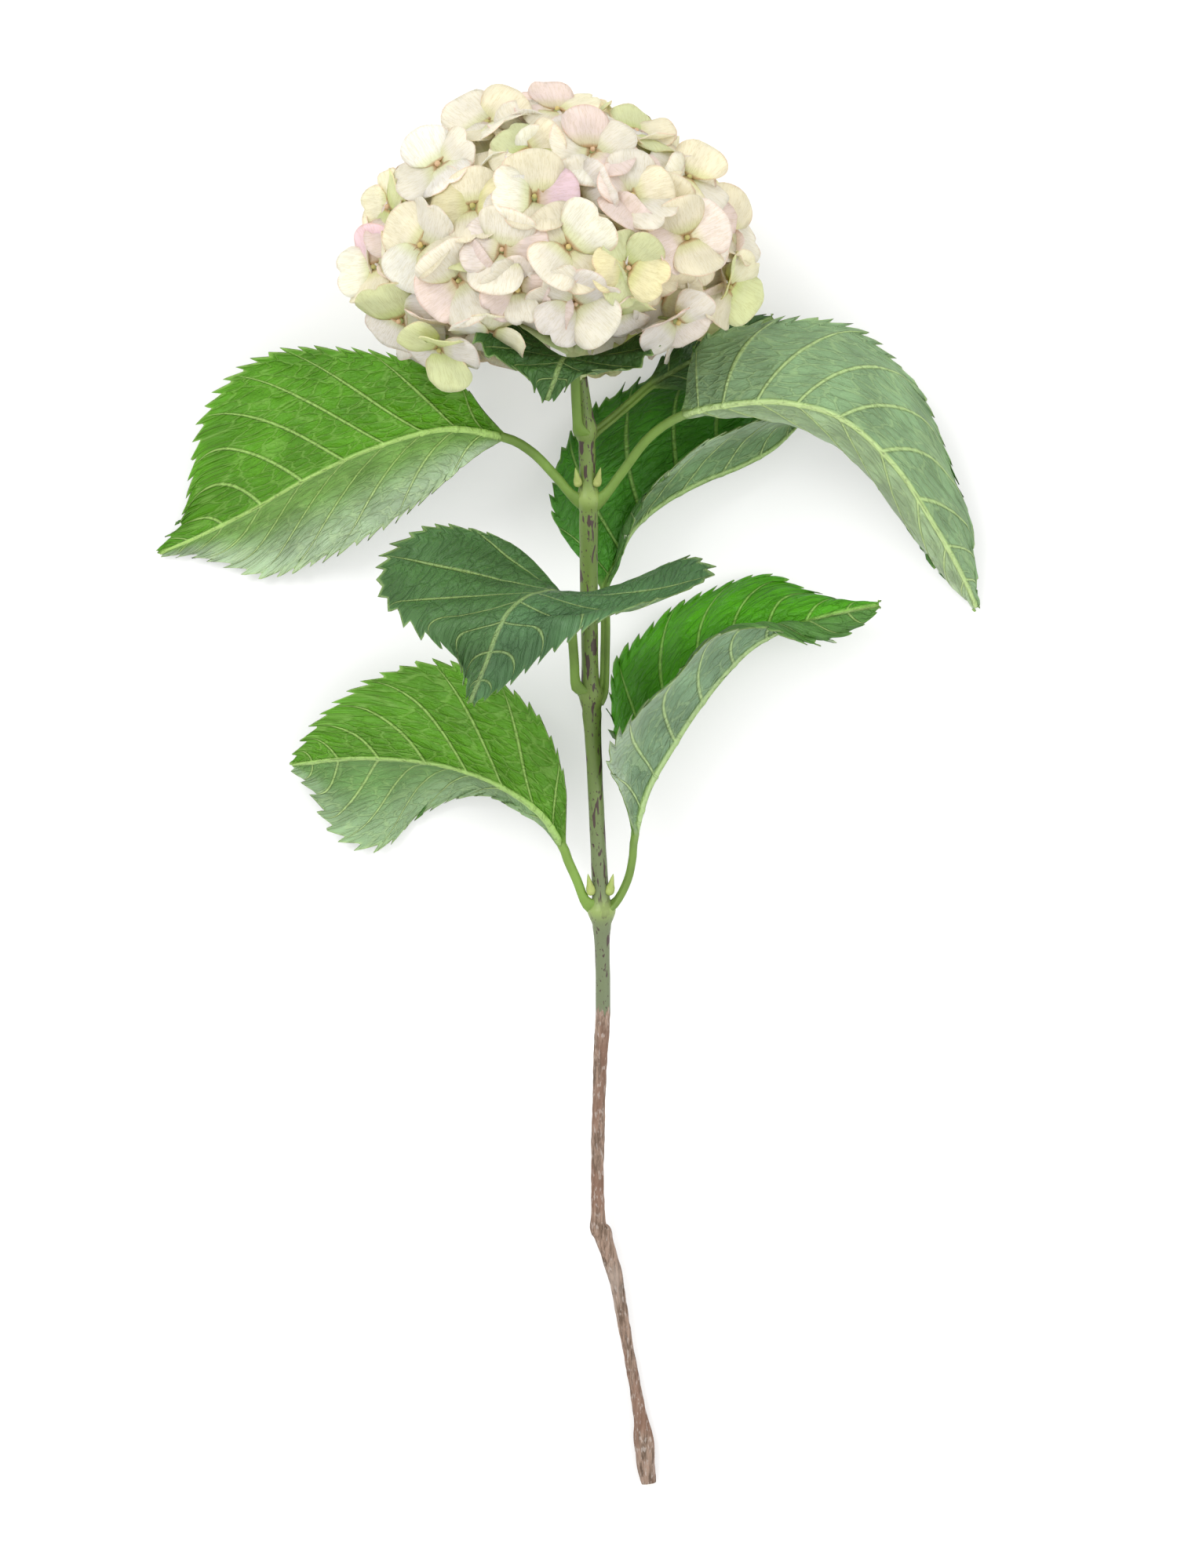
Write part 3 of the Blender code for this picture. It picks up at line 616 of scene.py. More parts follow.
def petal_material():
    """Thin sepals in their own tints, greener in the throat, with painted shade in brown-orange where the
    sepals meet in the middle, fine veins and flushed edges.
    """
    made, tree, shader = blank_material("petal cream")
    tint = attribute(tree, "tint", "Color")
    out, edge, flesh = attribute(tree, "out"), attribute(tree, "edge"), attribute(tree, "flesh")
    side, petal = attribute(tree, "side"), attribute(tree, "petal")
    mottle = placed(tree, mottle_group(), Scale=95.0)
    fan = joined(tree, product(tree, side, 9.0), product(tree, out, 1.2), petal)
    streaks = noise_of(tree, fan, 1.6, 3.0, 0.6)
    off_line = maths(tree, "ABSOLUTE", maths(tree, "SUBTRACT", streaks, 0.5))
    lines = stepped(tree, off_line, 0.0, 0.045, 1.0, 0.0)
    patches = stepped(tree, mottle["Patches"], 0.3, 0.72, 0.96, 1.04)
    colour = mixed(tree, 1.0, tint, joined(tree, patches, patches, patches), "MULTIPLY")
    throat = product(tree, stepped(tree, out, 0.08, 0.42, 0.55, 0.0), flesh)
    colour = mixed(tree, throat, colour, mixed(tree, 1.0, tint, (0.80, 0.86, 0.42, 1), "MULTIPLY"))
    flush = stepped(tree, mottle["Patches"], 0.4, 0.62, 0.0, 0.5)
    flush = product(tree, stepped(tree, edge, 0.9, 1.0), flush)
    colour = mixed(tree, product(tree, flush, flesh), colour, (0.92, 0.66, 0.54, 1))
    # Painted shade: brown-orange at the sepals' bases, where the gaps between them lie in shade.
    throat_shade = product(tree, stepped(tree, out, 0.03, 0.12, 0.75, 0.0), flesh)
    colour = mixed(tree, throat_shade, colour, (0.66, 0.42, 0.20, 1))
    shaded = mixed(tree, 1.0, colour, (0.86, 0.83, 0.70, 1), "MULTIPLY")
    colour = mixed(tree, product(tree, lines, product(tree, flesh, 0.6)), colour, shaded)
    speck = stepped(tree, mottle["Specks"], 0.72, 0.8, 0.0, 0.12)
    colour = mixed(tree, speck, colour, (0.52, 0.34, 0.18, 1))
    height = maths(tree, "ADD", product(tree, lines, 0.6), product(tree, mottle["Specks"], 0.6))
    normal = bumped(tree, height, 0.5, 0.0002)
    tree.links.new(colour, shader.inputs["Base Color"])
    tree.links.new(normal, shader.inputs["Normal"])
    shader.inputs["Roughness"].default_value = 0.58
    shader.inputs["Specular IOR Level"].default_value = 0.35
    glow = mixed(tree, 1.0, colour, (1.03, 1.0, 0.88, 1), "MULTIPLY")
    let_light_through(tree, shader, glow, normal, 0.48)
    return made


def stem_material(settings):
    """Green with long dark spots that turns to furrowed bark lower down, and a pale cut."""
    made, tree, shader = blank_material("stem")
    bark, collar, cut = attribute(tree, "bark"), attribute(tree, "collar"), attribute(tree, "cut")
    mottle = placed(tree, mottle_group(), Scale=90.0, Stretch=0.3)
    along_stem = put(tree, "ShaderNodeSeparateXYZ", {0: object_point(tree)}).outputs[1]
    age = stepped(tree, along_stem, -0.07, 0.06, 0.85, 0.0)
    long_spots = noise_of(tree, object_point(tree, (1.0, 0.22, 1.0)), 420.0, 2.0, 0.5)
    small_spots = noise_of(tree, object_point(tree, (1.0, 0.45, 1.0)), 1000.0, 2.0, 0.5)
    long_spots = stepped(tree, long_spots, 0.58, 0.615)
    spots = maths(tree, "MAXIMUM", long_spots, stepped(tree, small_spots, 0.63, 0.68))
    patches = stepped(tree, mottle["Patches"], 0.3, 0.7)
    green = mixed(tree, patches, (*settings.green, 1), (0.15, 0.22, 0.05, 1))
    dull = stepped(tree, maths(tree, "ADD", bark, age), 0.0, 1.0)
    green = mixed(tree, dull, green, (0.140, 0.170, 0.090, 1))
    green = mixed(tree, product(tree, collar, 0.8), green, (0.28, 0.38, 0.10, 1))
    spot_share = product(tree, spots, stepped(tree, collar, 0.2, 0.8, 0.95, 0.2))
    green = mixed(tree, spot_share, green, (*settings.spots, 1))
    grain = noise_of(tree, object_point(tree, (1.0, 0.12, 1.0)), 700.0, 5.0, 0.65)
    wood = mixed(tree, stepped(tree, grain, 0.36, 0.62), (0.10, 0.065, 0.042, 1), (*settings.bark, 1))
    red_brown = stepped(tree, mottle["Patches"], 0.36, 0.5, 0.75, 0.0)
    wood = mixed(tree, red_brown, wood, (0.195, 0.108, 0.072, 1))
    grey = stepped(tree, mottle["Patches"], 0.56, 0.7, 0.0, 0.45)
    wood = mixed(tree, grey, wood, (0.40, 0.34, 0.29, 1))
    flecks = stepped(tree, mottle["Specks"], 0.56, 0.66, 0.0, 0.5)
    wood = mixed(tree, flecks, wood, (0.46, 0.40, 0.36, 1))
    ragged = maths(tree, "ADD", bark, product(tree, maths(tree, "SUBTRACT", grain, 0.5), 1.6))
    is_bark = stepped(tree, ragged, 0.42, 0.62)
    colour = mixed(tree, is_bark, green, wood)
    colour = mixed(tree, cut, colour, (0.62, 0.52, 0.34, 1))
    relief = product(tree, grain, stepped(tree, is_bark, 0.0, 1.0, 0.25, 1.0))
    height = maths(tree, "ADD", relief, product(tree, mottle["Specks"], 0.3))
    tree.links.new(colour, shader.inputs["Base Color"])
    tree.links.new(stepped(tree, is_bark, 0.0, 1.0, 0.42, 0.82), shader.inputs["Roughness"])
    tree.links.new(bumped(tree, height, 0.7, 0.0006), shader.inputs["Normal"])
    shader.inputs["Specular IOR Level"].default_value = 0.4
    return made


def shoot_material(name, first, second):
    """Soft fresh green between two colours, for buds and flower stalks."""
    made, tree, shader = blank_material(name)
    mottle = placed(tree, mottle_group(), Scale=160.0, Stretch=0.4)
    colour = mixed(tree, stepped(tree, mottle["Patches"], 0.3, 0.7), (*first, 1), (*second, 1))
    specks = stepped(tree, mottle["Specks"], 0.6, 0.75, 0.0, 0.35)
    colour = mixed(tree, specks, colour, (0.30, 0.16, 0.10, 1))
    tree.links.new(colour, shader.inputs["Base Color"])
    tree.links.new(bumped(tree, mottle["Specks"], 0.4, 0.0003), shader.inputs["Normal"])
    tree.links.new(stepped(tree, mottle["Patches"], 0.3, 0.7, 0.42, 0.6), shader.inputs["Roughness"])
    return made


# Pieces


def stem_ring(place, radius, axis, settings):
    """One ring of the stem, with the ridges of its leaf nodes, its scar, its stub and its furrows."""
    y = place.y
    bark = eased(-y, -BARK_TOP - 6, -BARK_TOP + 8)
    furrow = settings.furrow / MM * bark
    points = []
    for spoke in spokes(axis, settings.sides):
        swell = 0.12 * noise.noise(Vector((spoke.x, spoke.z, y / 9)))
        swell += furrow * noise.noise(Vector((spoke.x * 3.4, spoke.z * 3.4, y / 11 + 5)))
        swell += furrow * 0.7 * noise.noise(Vector((spoke.x * 7, spoke.z * 7, y / 5)))
        for middle, height, _ in NODES:
            swell += height * (0.35 + 0.65 * abs(spoke.x)) * hump(y, middle + 1.5, 2.6)
            swell -= 0.35 * hump(y, middle - 4.5, 1.6)
        swell -= 0.5 * hump(y, *SCAR) * max(0.0, spoke.z)
        swell += 1.3 * hump(y, *STUB) * max(0.0, -spoke.x) ** 2
        swell += 0.7 * hump(y, STUB[0] - 3, 2.5) * max(0.0, spoke.x) ** 2
        points.append(place + spoke * (radius + swell))
    return points


def build_stem(settings):
    """The stem from its cut end to the base of the head, ring by ring along its centre line."""
    bm = bmesh.new()
    layers = [bm.verts.layers.float.new(name) for name in ("bark", "collar", "cut")]
    curve = [Vector((*point, radius)) for point, radius in STEM_LINE]
    shares = []
    for i in range(len(curve) - 1):
        steps = math.ceil((curve[i + 1] - curve[i]).xyz.length / (settings.step / MM))
        shares += [(i + k / steps) / (len(curve) - 1) for k in range(steps)]
    shares.append(1.0)
    rings, values = [], []
    for share in shares:
        here = along(curve, share)
        axis = (along(curve, share + 0.004) - along(curve, share - 0.004)).xyz
        rings.append(stem_ring(here.xyz, here.w, axis, settings))
        collar = max(yellow * hump(here.y, middle + 2, 4.5) for middle, _, yellow in NODES)
        values.append((eased(-here.y, -BARK_TOP - 10, -BARK_TOP + 10), collar, 0.0))
    centre = along(curve, 0).xyz
    forward = (along(curve, 0.01) - along(curve, 0)).xyz.normalized()
    face = []
    for size, depth, shade in CUT_RINGS:
        face.append([centre + (point - centre) * size + forward * depth for point in rings[0]])
        values.insert(len(face) - 1, (1.0, 0.0, shade))
    marks = {layer: [value[k] for value in values] for k, layer in enumerate(layers)}
    add_solid(bm, face + rings, marks)
    piece_from(bm, "stem_bark", stem_material(settings), "stem", "stem")


def stem_middle_near(point):
    """The point of the stem's centre line nearest to this one."""
    line = [Vector(place) for place, _ in STEM_LINE]
    return min((along(line, k / 400) for k in range(401)), key=lambda middle: (middle - point).length)


class Leaf:
    """The curves of one leaf, and where a point of its sheet lies."""

    HALF_STALK = 2.0
    HALF_TIP = 0.5
    SWELL = 0.12
    STALK_FADE = 10.0
    SKEW = 0.54

    def __init__(self, table):
        first = Vector(table["petiole"][0])
        root = stem_middle_near(first).lerp(first, 0.4) - (Vector(table["petiole"][1]) - first) * 0.4
        midrib = table["midrib"]
        self.margins = {half: [midrib[0], *table[half], midrib[-1]] for half in ("first", "second")}
        self.curve = [root] + table["petiole"] + midrib
        self.start = (len(table["petiole"]) + 1) / (len(self.curve) - 1)

    def frame_at(self, share, blade):
        """Centre, forward and sideways directions at this share of the whole curve."""
        forward = along(self.curve, share + 0.01) - along(self.curve, share - 0.01)
        steady = min(max(blade, 0.1), 0.9)
        sideways = along(self.margins["first"], steady) - along(self.margins["second"], steady)
        return along(self.curve, share), forward, across(sideways, forward)

    def stalk_point(self, share, column):
        """A point of the petiole's middle sheet; column runs from -1 to 1."""
        centre, _, lateral = self.frame_at(self.start * share, 0.0)
        flare = 1 + 1.1 * (1 - eased(share, 0.0, 0.35))
        return centre + lateral * (self.HALF_STALK * flare * column)

    def blade_point(self, blade, column):
        """A point of the blade's middle sheet, and the half's width there."""
        part = abs(column)
        ahead = (1 - blade) - (1 - blade) ** 4
        at = blade + self.SKEW * (0.88 * part + 0.12 * part * part) * ahead
        centre, forward, lateral = self.frame_at(self.start + (1 - self.start) * at, at)
        half, sign = ("first", 1) if column > 0 else ("second", -1)
        reach = along(self.margins[half], at) - centre
        stalk = self.HALF_STALK * (1 - at) + self.HALF_TIP * at
        edge = lateral * (sign * stalk * max(0.0, 1 - reach.length / self.STALK_FADE))
        bulge = forward.cross(reach).normalized() * (sign * self.SWELL * 4 * reach.length)
        return centre + (reach + edge) * part + bulge * (part * (1 - part)), (reach + edge).length


def blade_rows(veins):
    """The share along the blade and the vein coordinate of each row of the blade."""
    rows = []
    for i in range(1, veins * ROWS_PER_VEIN + 1):
        whole, part = divmod(i / ROWS_PER_VEIN, 1)
        rib = whole + part - 0.07 * math.sin(2 * math.pi * part)
        rows.append(((rib / veins) ** 1.25, rib))
    return rows


def tooth_heights(leaf, blade, column):
    """How high the margin's teeth are at each row, from 0 to 1, all of one length along the margin."""
    heights, reach, last = [], 0.0, leaf.blade_point(blade[0][0], column)[0]
    for at, _ in blade:
        here = leaf.blade_point(at, column)[0]
        reach += (here - last).length
        last = here
        part = reach / TOOTH_LENGTH % 1
        heights.append((part / TOOTH_PEAK) ** 1.4 if part < TOOTH_PEAK else (1 - part) / (1 - TOOTH_PEAK))
    return heights


def build_leaf(name, table, settings, material):
    """A petiole and a veined blade as one solid: a grid bent to the leaf's rows, then given its depth."""
    bm = bmesh.new()
    names = ("rib", "reach", "off", "under", "blade", "above", "below")
    layer = {key: bm.verts.layers.float.new(key) for key in names}
    tint = bm.verts.layers.float_vector.new("tint")
    leaf = Leaf(table)
    blade = blade_rows(table["veins"])
    teeth = {side: tooth_heights(leaf, blade, side) for side in (-1, 1)}
    rows, columns = PETIOLE_ROWS + 1 + len(blade), 2 * LEAF_COLUMNS + 1
    grid = bmesh.ops.create_grid(bm, x_segments=columns - 1, y_segments=rows - 1, size=1)["verts"]
    seed = sum(map(ord, name))
    half_depth = settings.thickness / MM / 2
    for i, vert in enumerate(grid):
        row, step = divmod(i, columns)
        even = step / LEAF_COLUMNS - 1
        if row <= PETIOLE_ROWS:
            share = row / PETIOLE_ROWS
            vert.co = leaf.stalk_point(share, even)
            at, rib, tooth, width, column = 0.0, 0.0, 0.0, leaf.HALF_STALK, even
        else:
            at, rib = blade[row - PETIOLE_ROWS - 1]
            tooth = teeth[1 if even > 0 else -1][row - PETIOLE_ROWS - 1]
            width = leaf.blade_point(at, even or 1e-6)[1]
            packed = 0.085 * (1 - min(1.0, leaf.HALF_STALK / width))
            column = even - packed * math.sin(2 * math.pi * even)
            vert.co, width = leaf.blade_point(at, column or 1e-6)
        vert[layer["rib"]] = rib
        vert[layer["reach"]] = column
        vert[layer["off"]] = abs(column) * width
        vert[layer["blade"]] = eased(row, PETIOLE_ROWS - 3, PETIOLE_ROWS + 12)
        rounded = math.sqrt(max(0.0, 1 - min(1.0, abs(column) * width / leaf.HALF_STALK) ** 2))
        flat = eased(row, PETIOLE_ROWS, PETIOLE_ROWS + 14)
        off = vert[layer["off"]]
        rib_height = (1.5 * (1 - at) ** 0.8 + 0.15) * hump(off, 0, 1.0 - 0.4 * at)
        to_vein = abs(rib - round(rib))
        fading = 1 - eased(abs(column), 0.75, 1.0)
        side_height = 0.34 * hump(to_vein, 0, 0.07) * fading * (1 - 0.5 * at)
        stalk_height = rounded - 0.6 * hump(off, 0, 0.7)
        above = (1 - flat) * stalk_height - flat * (0.5 * side_height + 0.2 * rib_height)
        below = (1 - flat) * 1.9 * rounded + flat * (rib_height + side_height)
        vert[layer["above"]] = half_depth + above
        vert[layer["below"]] = half_depth + below
        weight = (max(0.0, abs(column) - 0.86) / 0.14) ** 1.5 * eased(rib, 0.4, 1.4) * flat
        if weight > 0 and tooth > 0:
            ahead = leaf.blade_point(min(at + 0.01, 1), column)[0] - vert.co
            outward = vert.co - leaf.blade_point(at, column * 0.8)[0]
            outward.z *= 0.25
            size = settings.tooth / MM * tooth * weight * (1 - 0.6 * at * at)
            vert.co += (outward.normalized() + 0.5 * ahead.normalized()) * size
    bm.normal_update()
    upper_way = -table["lift"]
    moves = []
    for vert in grid:
        rib, column, at = vert[layer["rib"]], vert[layer["reach"]], vert[layer["blade"]]
        part = abs(column)
        quilt = math.sin(math.pi * rib) ** 2 * math.sin(math.pi * min(1.0, part * 0.96 + 0.04)) ** 0.6
        height = settings.quilting / MM * quilt * eased(vert[layer["off"]], 1.0, 6.0)
        wave = noise.noise(Vector((rib * 0.55, math.copysign(3, column), seed)))
        wave += 0.5 * noise.noise(Vector((rib * 1.4, math.copysign(7, column), seed + 3)))
        height += settings.ruffle / MM * wave * part**2.2
        height += 0.35 * noise.noise(vert.co / 5 + Vector((seed, 0, 0))) * min(1.0, part * 5)
        moves.append(vert.normal * (upper_way * height * at))
    for vert, move in zip(grid, moves):
        vert.co += move
    bm.normal_update()
    normals = [vert.normal * upper_way for vert in grid]
    grown = bmesh.ops.extrude_face_region(bm, geom=bm.faces[:])["geom"]
    upper = [item for item in grown if isinstance(item, bmesh.types.BMVert)]
    for vert, twin, normal in zip(upper, grid, normals):
        vert.co += normal * vert[layer["above"]]
        twin.co -= normal * twin[layer["below"]]
        half = 0 if vert[layer["reach"]] > 0 else 1
        stalk = Vector(settings.petiole)
        for side, is_under in ((vert, False), (twin, True)):
            green = HIDDEN_UNDER if is_under else HIDDEN_UPPER
            # Faces that look up take the half's green with painted light and shade, and the second half
            # fades outward to a painted sheen.
            if table["unders"][half] == is_under:
                painted_sheen_share = table.get("painted_sheen_share", 0.0) * half * eased(abs(side[layer["reach"]]), 0.3, 0.95)
                green = Vector(table["greens_with_painted_light"][half]).lerp(Vector(PALE_SHEEN), painted_sheen_share)
            side[tint] = stalk.lerp(Vector(green), side[layer["blade"]])
            side[layer["under"]] = float(is_under)
    for key in ("above", "below"):
        bm.verts.layers.float.remove(bm.verts.layers.float[key])
    piece_from(bm, name + "_blade", material, "leaf", name)


def build_axil_bud(name, base, tip, radius, material):
    """A pointed bud: its core and two pairs of scales that clasp it."""
    base, tip = Vector(base), Vector(tip)
    base -= (tip - base) * 0.4
    axis = (tip - base) * 0.8
    bm = bmesh.new()
    for end, size in BUD_SCALES:
        line = [(base + axis * (share * end), 1.2 * radius * size * wide) for share, wide in BUD_PROFILE]
        rings = tube(line, BUD_SIDES)
        for k, places in enumerate(rings):
            middle = line[k][0]
            for n, point in enumerate(places):
                clasp = 1 + 0.1 * math.cos(2 * (2 * math.pi * n / BUD_SIDES) + end * 9)
                places[n] = middle + (point - middle) * clasp
        add_solid(bm, rings)
    piece_from(bm, name + "_scales", material, "bud", name)


def upper_unit(x, y):
    """The direction from the head's middle to the dome's point over (x, y)."""
    across_x = (x - HEAD_CENTRE.x) / HEAD_RADII.x
    drop = HEAD_SAG * max(0.0, -across_x) * max(0.0, (HEAD_CENTRE.y - y) / HEAD_LOWER_RADIUS)
    along_y = (y + drop - HEAD_CENTRE.y) / (HEAD_RADII.y if y > HEAD_CENTRE.y else HEAD_LOWER_RADIUS)
    height = math.sqrt(max(0.02, 1 - across_x**2 - along_y**2))
    return Vector((across_x, along_y, height)).normalized()


def spread_units(count):
    """Directions spread by the golden angle from the head's far end to the opening round the stem."""
    lowest = math.cos(UNDER_POLAR_END)
    units = []
    for i in range(count):
        rise = 1 - (1 - lowest) * (i + 0.5) / count
        reach = math.sqrt(1 - rise * rise)
        turn = i * GOLDEN_ANGLE
        units.append(Vector((reach * math.cos(turn), rise, reach * math.sin(turn))))
    return units


def dome_place(unit, share=1.0):
    """The centre and facing of a floret this way from the head's middle, at a share of its radius."""
    radii = Vector((HEAD_RADII.x, HEAD_RADII.y if unit.y > 0 else HEAD_LOWER_RADIUS, HEAD_RADII.z))
    centre = HEAD_CENTRE + unit * radii * share
    facing = Vector((unit.x / radii.x, unit.y / radii.y, unit.z / radii.z)).normalized()
    centre.y -= HEAD_SAG * max(0.0, -unit.x) * max(0.0, -unit.y) * share
    return centre, facing


def rim_lean(centre, facing):
    """How much more a floret near the dome's rim looks towards the stem."""
    return RIM_LEAN * max(0.0, RIM_TOP - centre.y) * max(0.0, facing.z)


def head_places():
    """The centre of each outer floret and the way it faces."""
    units = [upper_unit(x, y) for (x, y), _, _ in UPPER_FLORETS]
    units += [unit for unit in spread_units(UNDER_SPREAD) if unit.z < UNDER_TOP]
    return [dome_place(unit) for unit in units]


def knots_for(places):
    """Groups the florets round KNOT_COUNT of them, and gives each group's knot and florets."""
    step = len(places) / KNOT_COUNT
    means = [places[int((k + 0.5) * step)][0] for k in range(KNOT_COUNT)]
    for _ in range(20):
        groups = [[] for _ in means]
        for i, (centre, _) in enumerate(places):
            nearest = min(range(KNOT_COUNT), key=lambda k: (means[k] - centre).length)
            groups[nearest].append(i)
        means = [sum((places[i][0] for i in group), Vector()) / len(group) for group in groups]
    return [(HUB_CENTRE.lerp(mean, KNOT_REACH), group) for mean, group in zip(means, groups)]


def build_flower_stalks(material):
    """The hub over the stem's end and a bowed branch to each knot."""
    bm = bmesh.new()
    end, before = Vector(STEM_LINE[-1][0]), Vector(STEM_LINE[-2][0])
    start = end + (end - before).normalized() * (STALK_GAP - 1.5)
    hub = [(start.lerp(HUB_CENTRE, share), radius) for share, radius in HUB_LINE]
    add_solid(bm, tube(hub, 24))
    for knot, _ in knots_for(head_places()):
        forward = (knot - HUB_CENTRE).normalized()
        bow = across(Vector((0, 0.4, -1)), forward) * ((knot - HUB_CENTRE).length * 0.03)
        line = []
        for share in [k / BRANCH_STEPS for k in range(BRANCH_STEPS + 1)]:
            thick = 2.3 - 1.1 * share + 0.25 * hump(share, 0.45, 0.05)
            line.append((HUB_CENTRE.lerp(knot, share * 0.95) + bow * math.sin(math.pi * share), thick))
        for share, radius in KNOT_LINE:
            line.append((knot + forward * (KNOT_RADIUS * share), radius))
        add_solid(bm, tube(line, 12))
    piece_from(bm, "flower_stalk_branches", material, "flower_stalk", "flower_stalks")


def petal_mesh():
    """An empty mesh with the point layers that the petals' colours read."""
    bm = bmesh.new()
    for name in PETAL_LAYERS:
        bm.verts.layers.float.new(name)
    bm.verts.layers.float_vector.new("tint")
    return bm


def paint(bm, vert, tint, **values):
    vert[bm.verts.layers.float_vector["tint"]] = tint
    for name in PETAL_LAYERS:
        vert[bm.verts.layers.float[name]] = values.get(name, 0.0)


def add_sepal(bm, centre, facing, direction, length, look, settings, segments):
    """One sepal: a grid rounded to a broad leaf shape, cupped, rippled and given its thickness. look holds
    its tint, the number that its pattern starts from, its relative width, curl and pinch."""
    tint, number, wide, curl, pinch = look
    side = facing.cross(direction)
    verts = bmesh.ops.create_grid(bm, x_segments=segments, y_segments=segments, size=1)["verts"]
    ripple = settings.ripple / MM
    for vert in verts:
        a, b = vert.co.x, vert.co.y
        edge = max(abs(a), abs(b))
        x, y = a * math.sqrt(1 - b * b / 2), b * math.sqrt(1 - a * a / 2)
        out = (1 + y) / 2
        half_width = 0.6 * length * wide * (0.74 + 0.34 * out)
        notch = pinch * max(0.0, 1 - abs(x) * 4) * max(0.0, out - 0.85)
        rise = length * (settings.cup * out**1.5 + curl * (out - 0.35) ** 2 - 0.1 * x * x)
        wave = noise.noise(Vector((x * 1.5, y * 1.5, number * 7.3)))
        rise += ripple * edge**2 * (math.sin(3.4 * a + number) * 0.5 + math.sin(2.9 * b + number * 2) * 0.4)
        rise += ripple * 1.1 * wave * (0.3 + out)
        vert.co = centre + direction * (length * (out - notch)) + side * (half_width * x) + facing * rise
        paint(bm, vert, tint, out=out, edge=edge, side=x, petal=number, flesh=1.0)
    faces = list({face for vert in verts for face in vert.link_faces})
    for face in faces:
        face.normal_update()
    for vert in verts:
        vert.normal_update()
    normals = [vert.normal.copy() for vert in verts]
    grown = bmesh.ops.extrude_face_region(bm, geom=faces)["geom"]
    upper = [item for item in grown if isinstance(item, bmesh.types.BMVert)]
    half_depth = settings.thickness / MM / 2
    for vert, twin, normal in zip(upper, verts, normals):
        vert.co += normal * half_depth
        twin.co -= normal * half_depth


def add_floret(bm, centre, facing, length, tints, rng, settings, segments):
    """The sepals of one floret in crossed pairs; an inner floret's are coarser and always four."""
    right = across(Vector((0.3, 0.2, 1)), facing)
    up = facing.cross(right)
    start = rng.uniform(0, 2 * math.pi)
    count = rng.choice(SEPAL_COUNTS if segments == SEPAL_SEGMENTS else (4,))
    for k in range(count):
        angle = start + 2 * math.pi * (k + rng.uniform(-0.07, 0.07)) / count
        direction = right * math.cos(angle) + up * math.sin(angle)
        tilt, roll = rng.uniform(-0.12, 0.46), rng.uniform(-0.26, 0.26)
        hinge = facing.cross(direction).normalized()
        turn = Matrix.Rotation(roll, 3, direction) @ Matrix.Rotation(-tilt, 3, hinge)
        level = 0.45 if k % 2 else -0.2
        jitter = [rng.uniform(0.92, 1.06) for _ in range(3)]
        tint = Vector(TINTS[tints[k % len(tints)]]) * jitter[0]
        tint = Vector([min(channel, 0.95) for channel in tint])
        wide = SEPAL_WIDTHS[count] * jitter[1]
        look = (tint, rng.uniform(0, 50), wide, rng.uniform(-0.30, 0.16), rng.choice((0.0, 0.0, 0.9)))
        base = centre + direction * 0.9 + facing * level
        add_sepal(bm, base, turn @ facing, turn @ direction, length * jitter[2], look, settings, segments)


def add_bead_and_pedicel(bm, centre, facing, knot, rng, settings):
    """The closed bud in a floret's middle and the stalk that carries the floret."""
    radius = settings.bead / MM * rng.uniform(0.85, 1.15)
    bead = bmesh.ops.create_icosphere(bm, subdivisions=2, radius=radius)["verts"]
    right = across(Vector((0.3, 0.2, 1)), facing)
    up = facing.cross(right)
    tint = rng.choice(BEAD_TINTS)
    for vert in bead:
        x, y, z = vert.co
        cross = 1 - 0.13 * (1 - min(1.0, min(abs(x), abs(y)) / (0.3 * radius))) * max(0.0, z / radius)
        vert.co = centre + (right * x + up * y) * cross + facing * (z * 1.15 * cross + radius * 0.75)
        paint(bm, vert, tint)
    stalk = (centre - knot).normalized()
    foot = knot + stalk * (KNOT_RADIUS * 0.4)
    bend = across(facing, stalk) * 2.5
    line = []
    for share in (0, 0.15, 0.4, 0.65, 0.85, 0.95, 1.0):
        point = foot.lerp(centre + facing * 0.3, share) - bend * (math.sin(math.pi * share) * share)
        line.append((point, 0.62 + 0.3 * hump(share, 0, 0.2) + 0.9 * hump(share, 1.0, 0.09)))
    layers = {bm.verts.layers.float_vector["tint"]: [tuple(settings.pedicel)] * len(line)}
    for name in PETAL_LAYERS:
        layers[bm.verts.layers.float[name]] = [0.0] * len(line)
    add_solid(bm, tube(line, 8), layers)


def press_down(bm):
    for vert in bm.verts:
        vert.co = pressed(vert.co)


def build_florets(settings, material):
    """The outer florets, one piece each."""
    places = head_places()
    knot_of = {number: knot for knot, group in knots_for(places) for number in group}
    for number, (centre, facing) in enumerate(places):
        rng = random.Random(OUTER_SEED + number)
        if number < len(UPPER_FLORETS):
            _, length, tints = UPPER_FLORETS[number]
            tilt = UPPER_TILT
        else:
            length, tints = UNDER_SEPAL, UNDER_TINTS[number % len(UNDER_TINTS)]
            tilt = UNDER_TILT
        lean = Vector([rng.uniform(-tilt, tilt) for _ in range(3)])
        lean.y -= rim_lean(centre, facing)
        lean.z += VIEW_LEAN if number < len(UPPER_FLORETS) else 0.0
        facing = (facing + lean).normalized()
        centre = centre + facing * rng.uniform(-3.0, 2.0)
        name = f"floret_{number + 1:02d}"
        bm = petal_mesh()
        add_floret(bm, centre, facing, length, tints, rng, settings, SEPAL_SEGMENTS)
        add_bead_and_pedicel(bm, centre, facing, knot_of[number], rng, settings)
        press_down(bm)
        piece_from(bm, name + "_sepals", material, "petal", name)


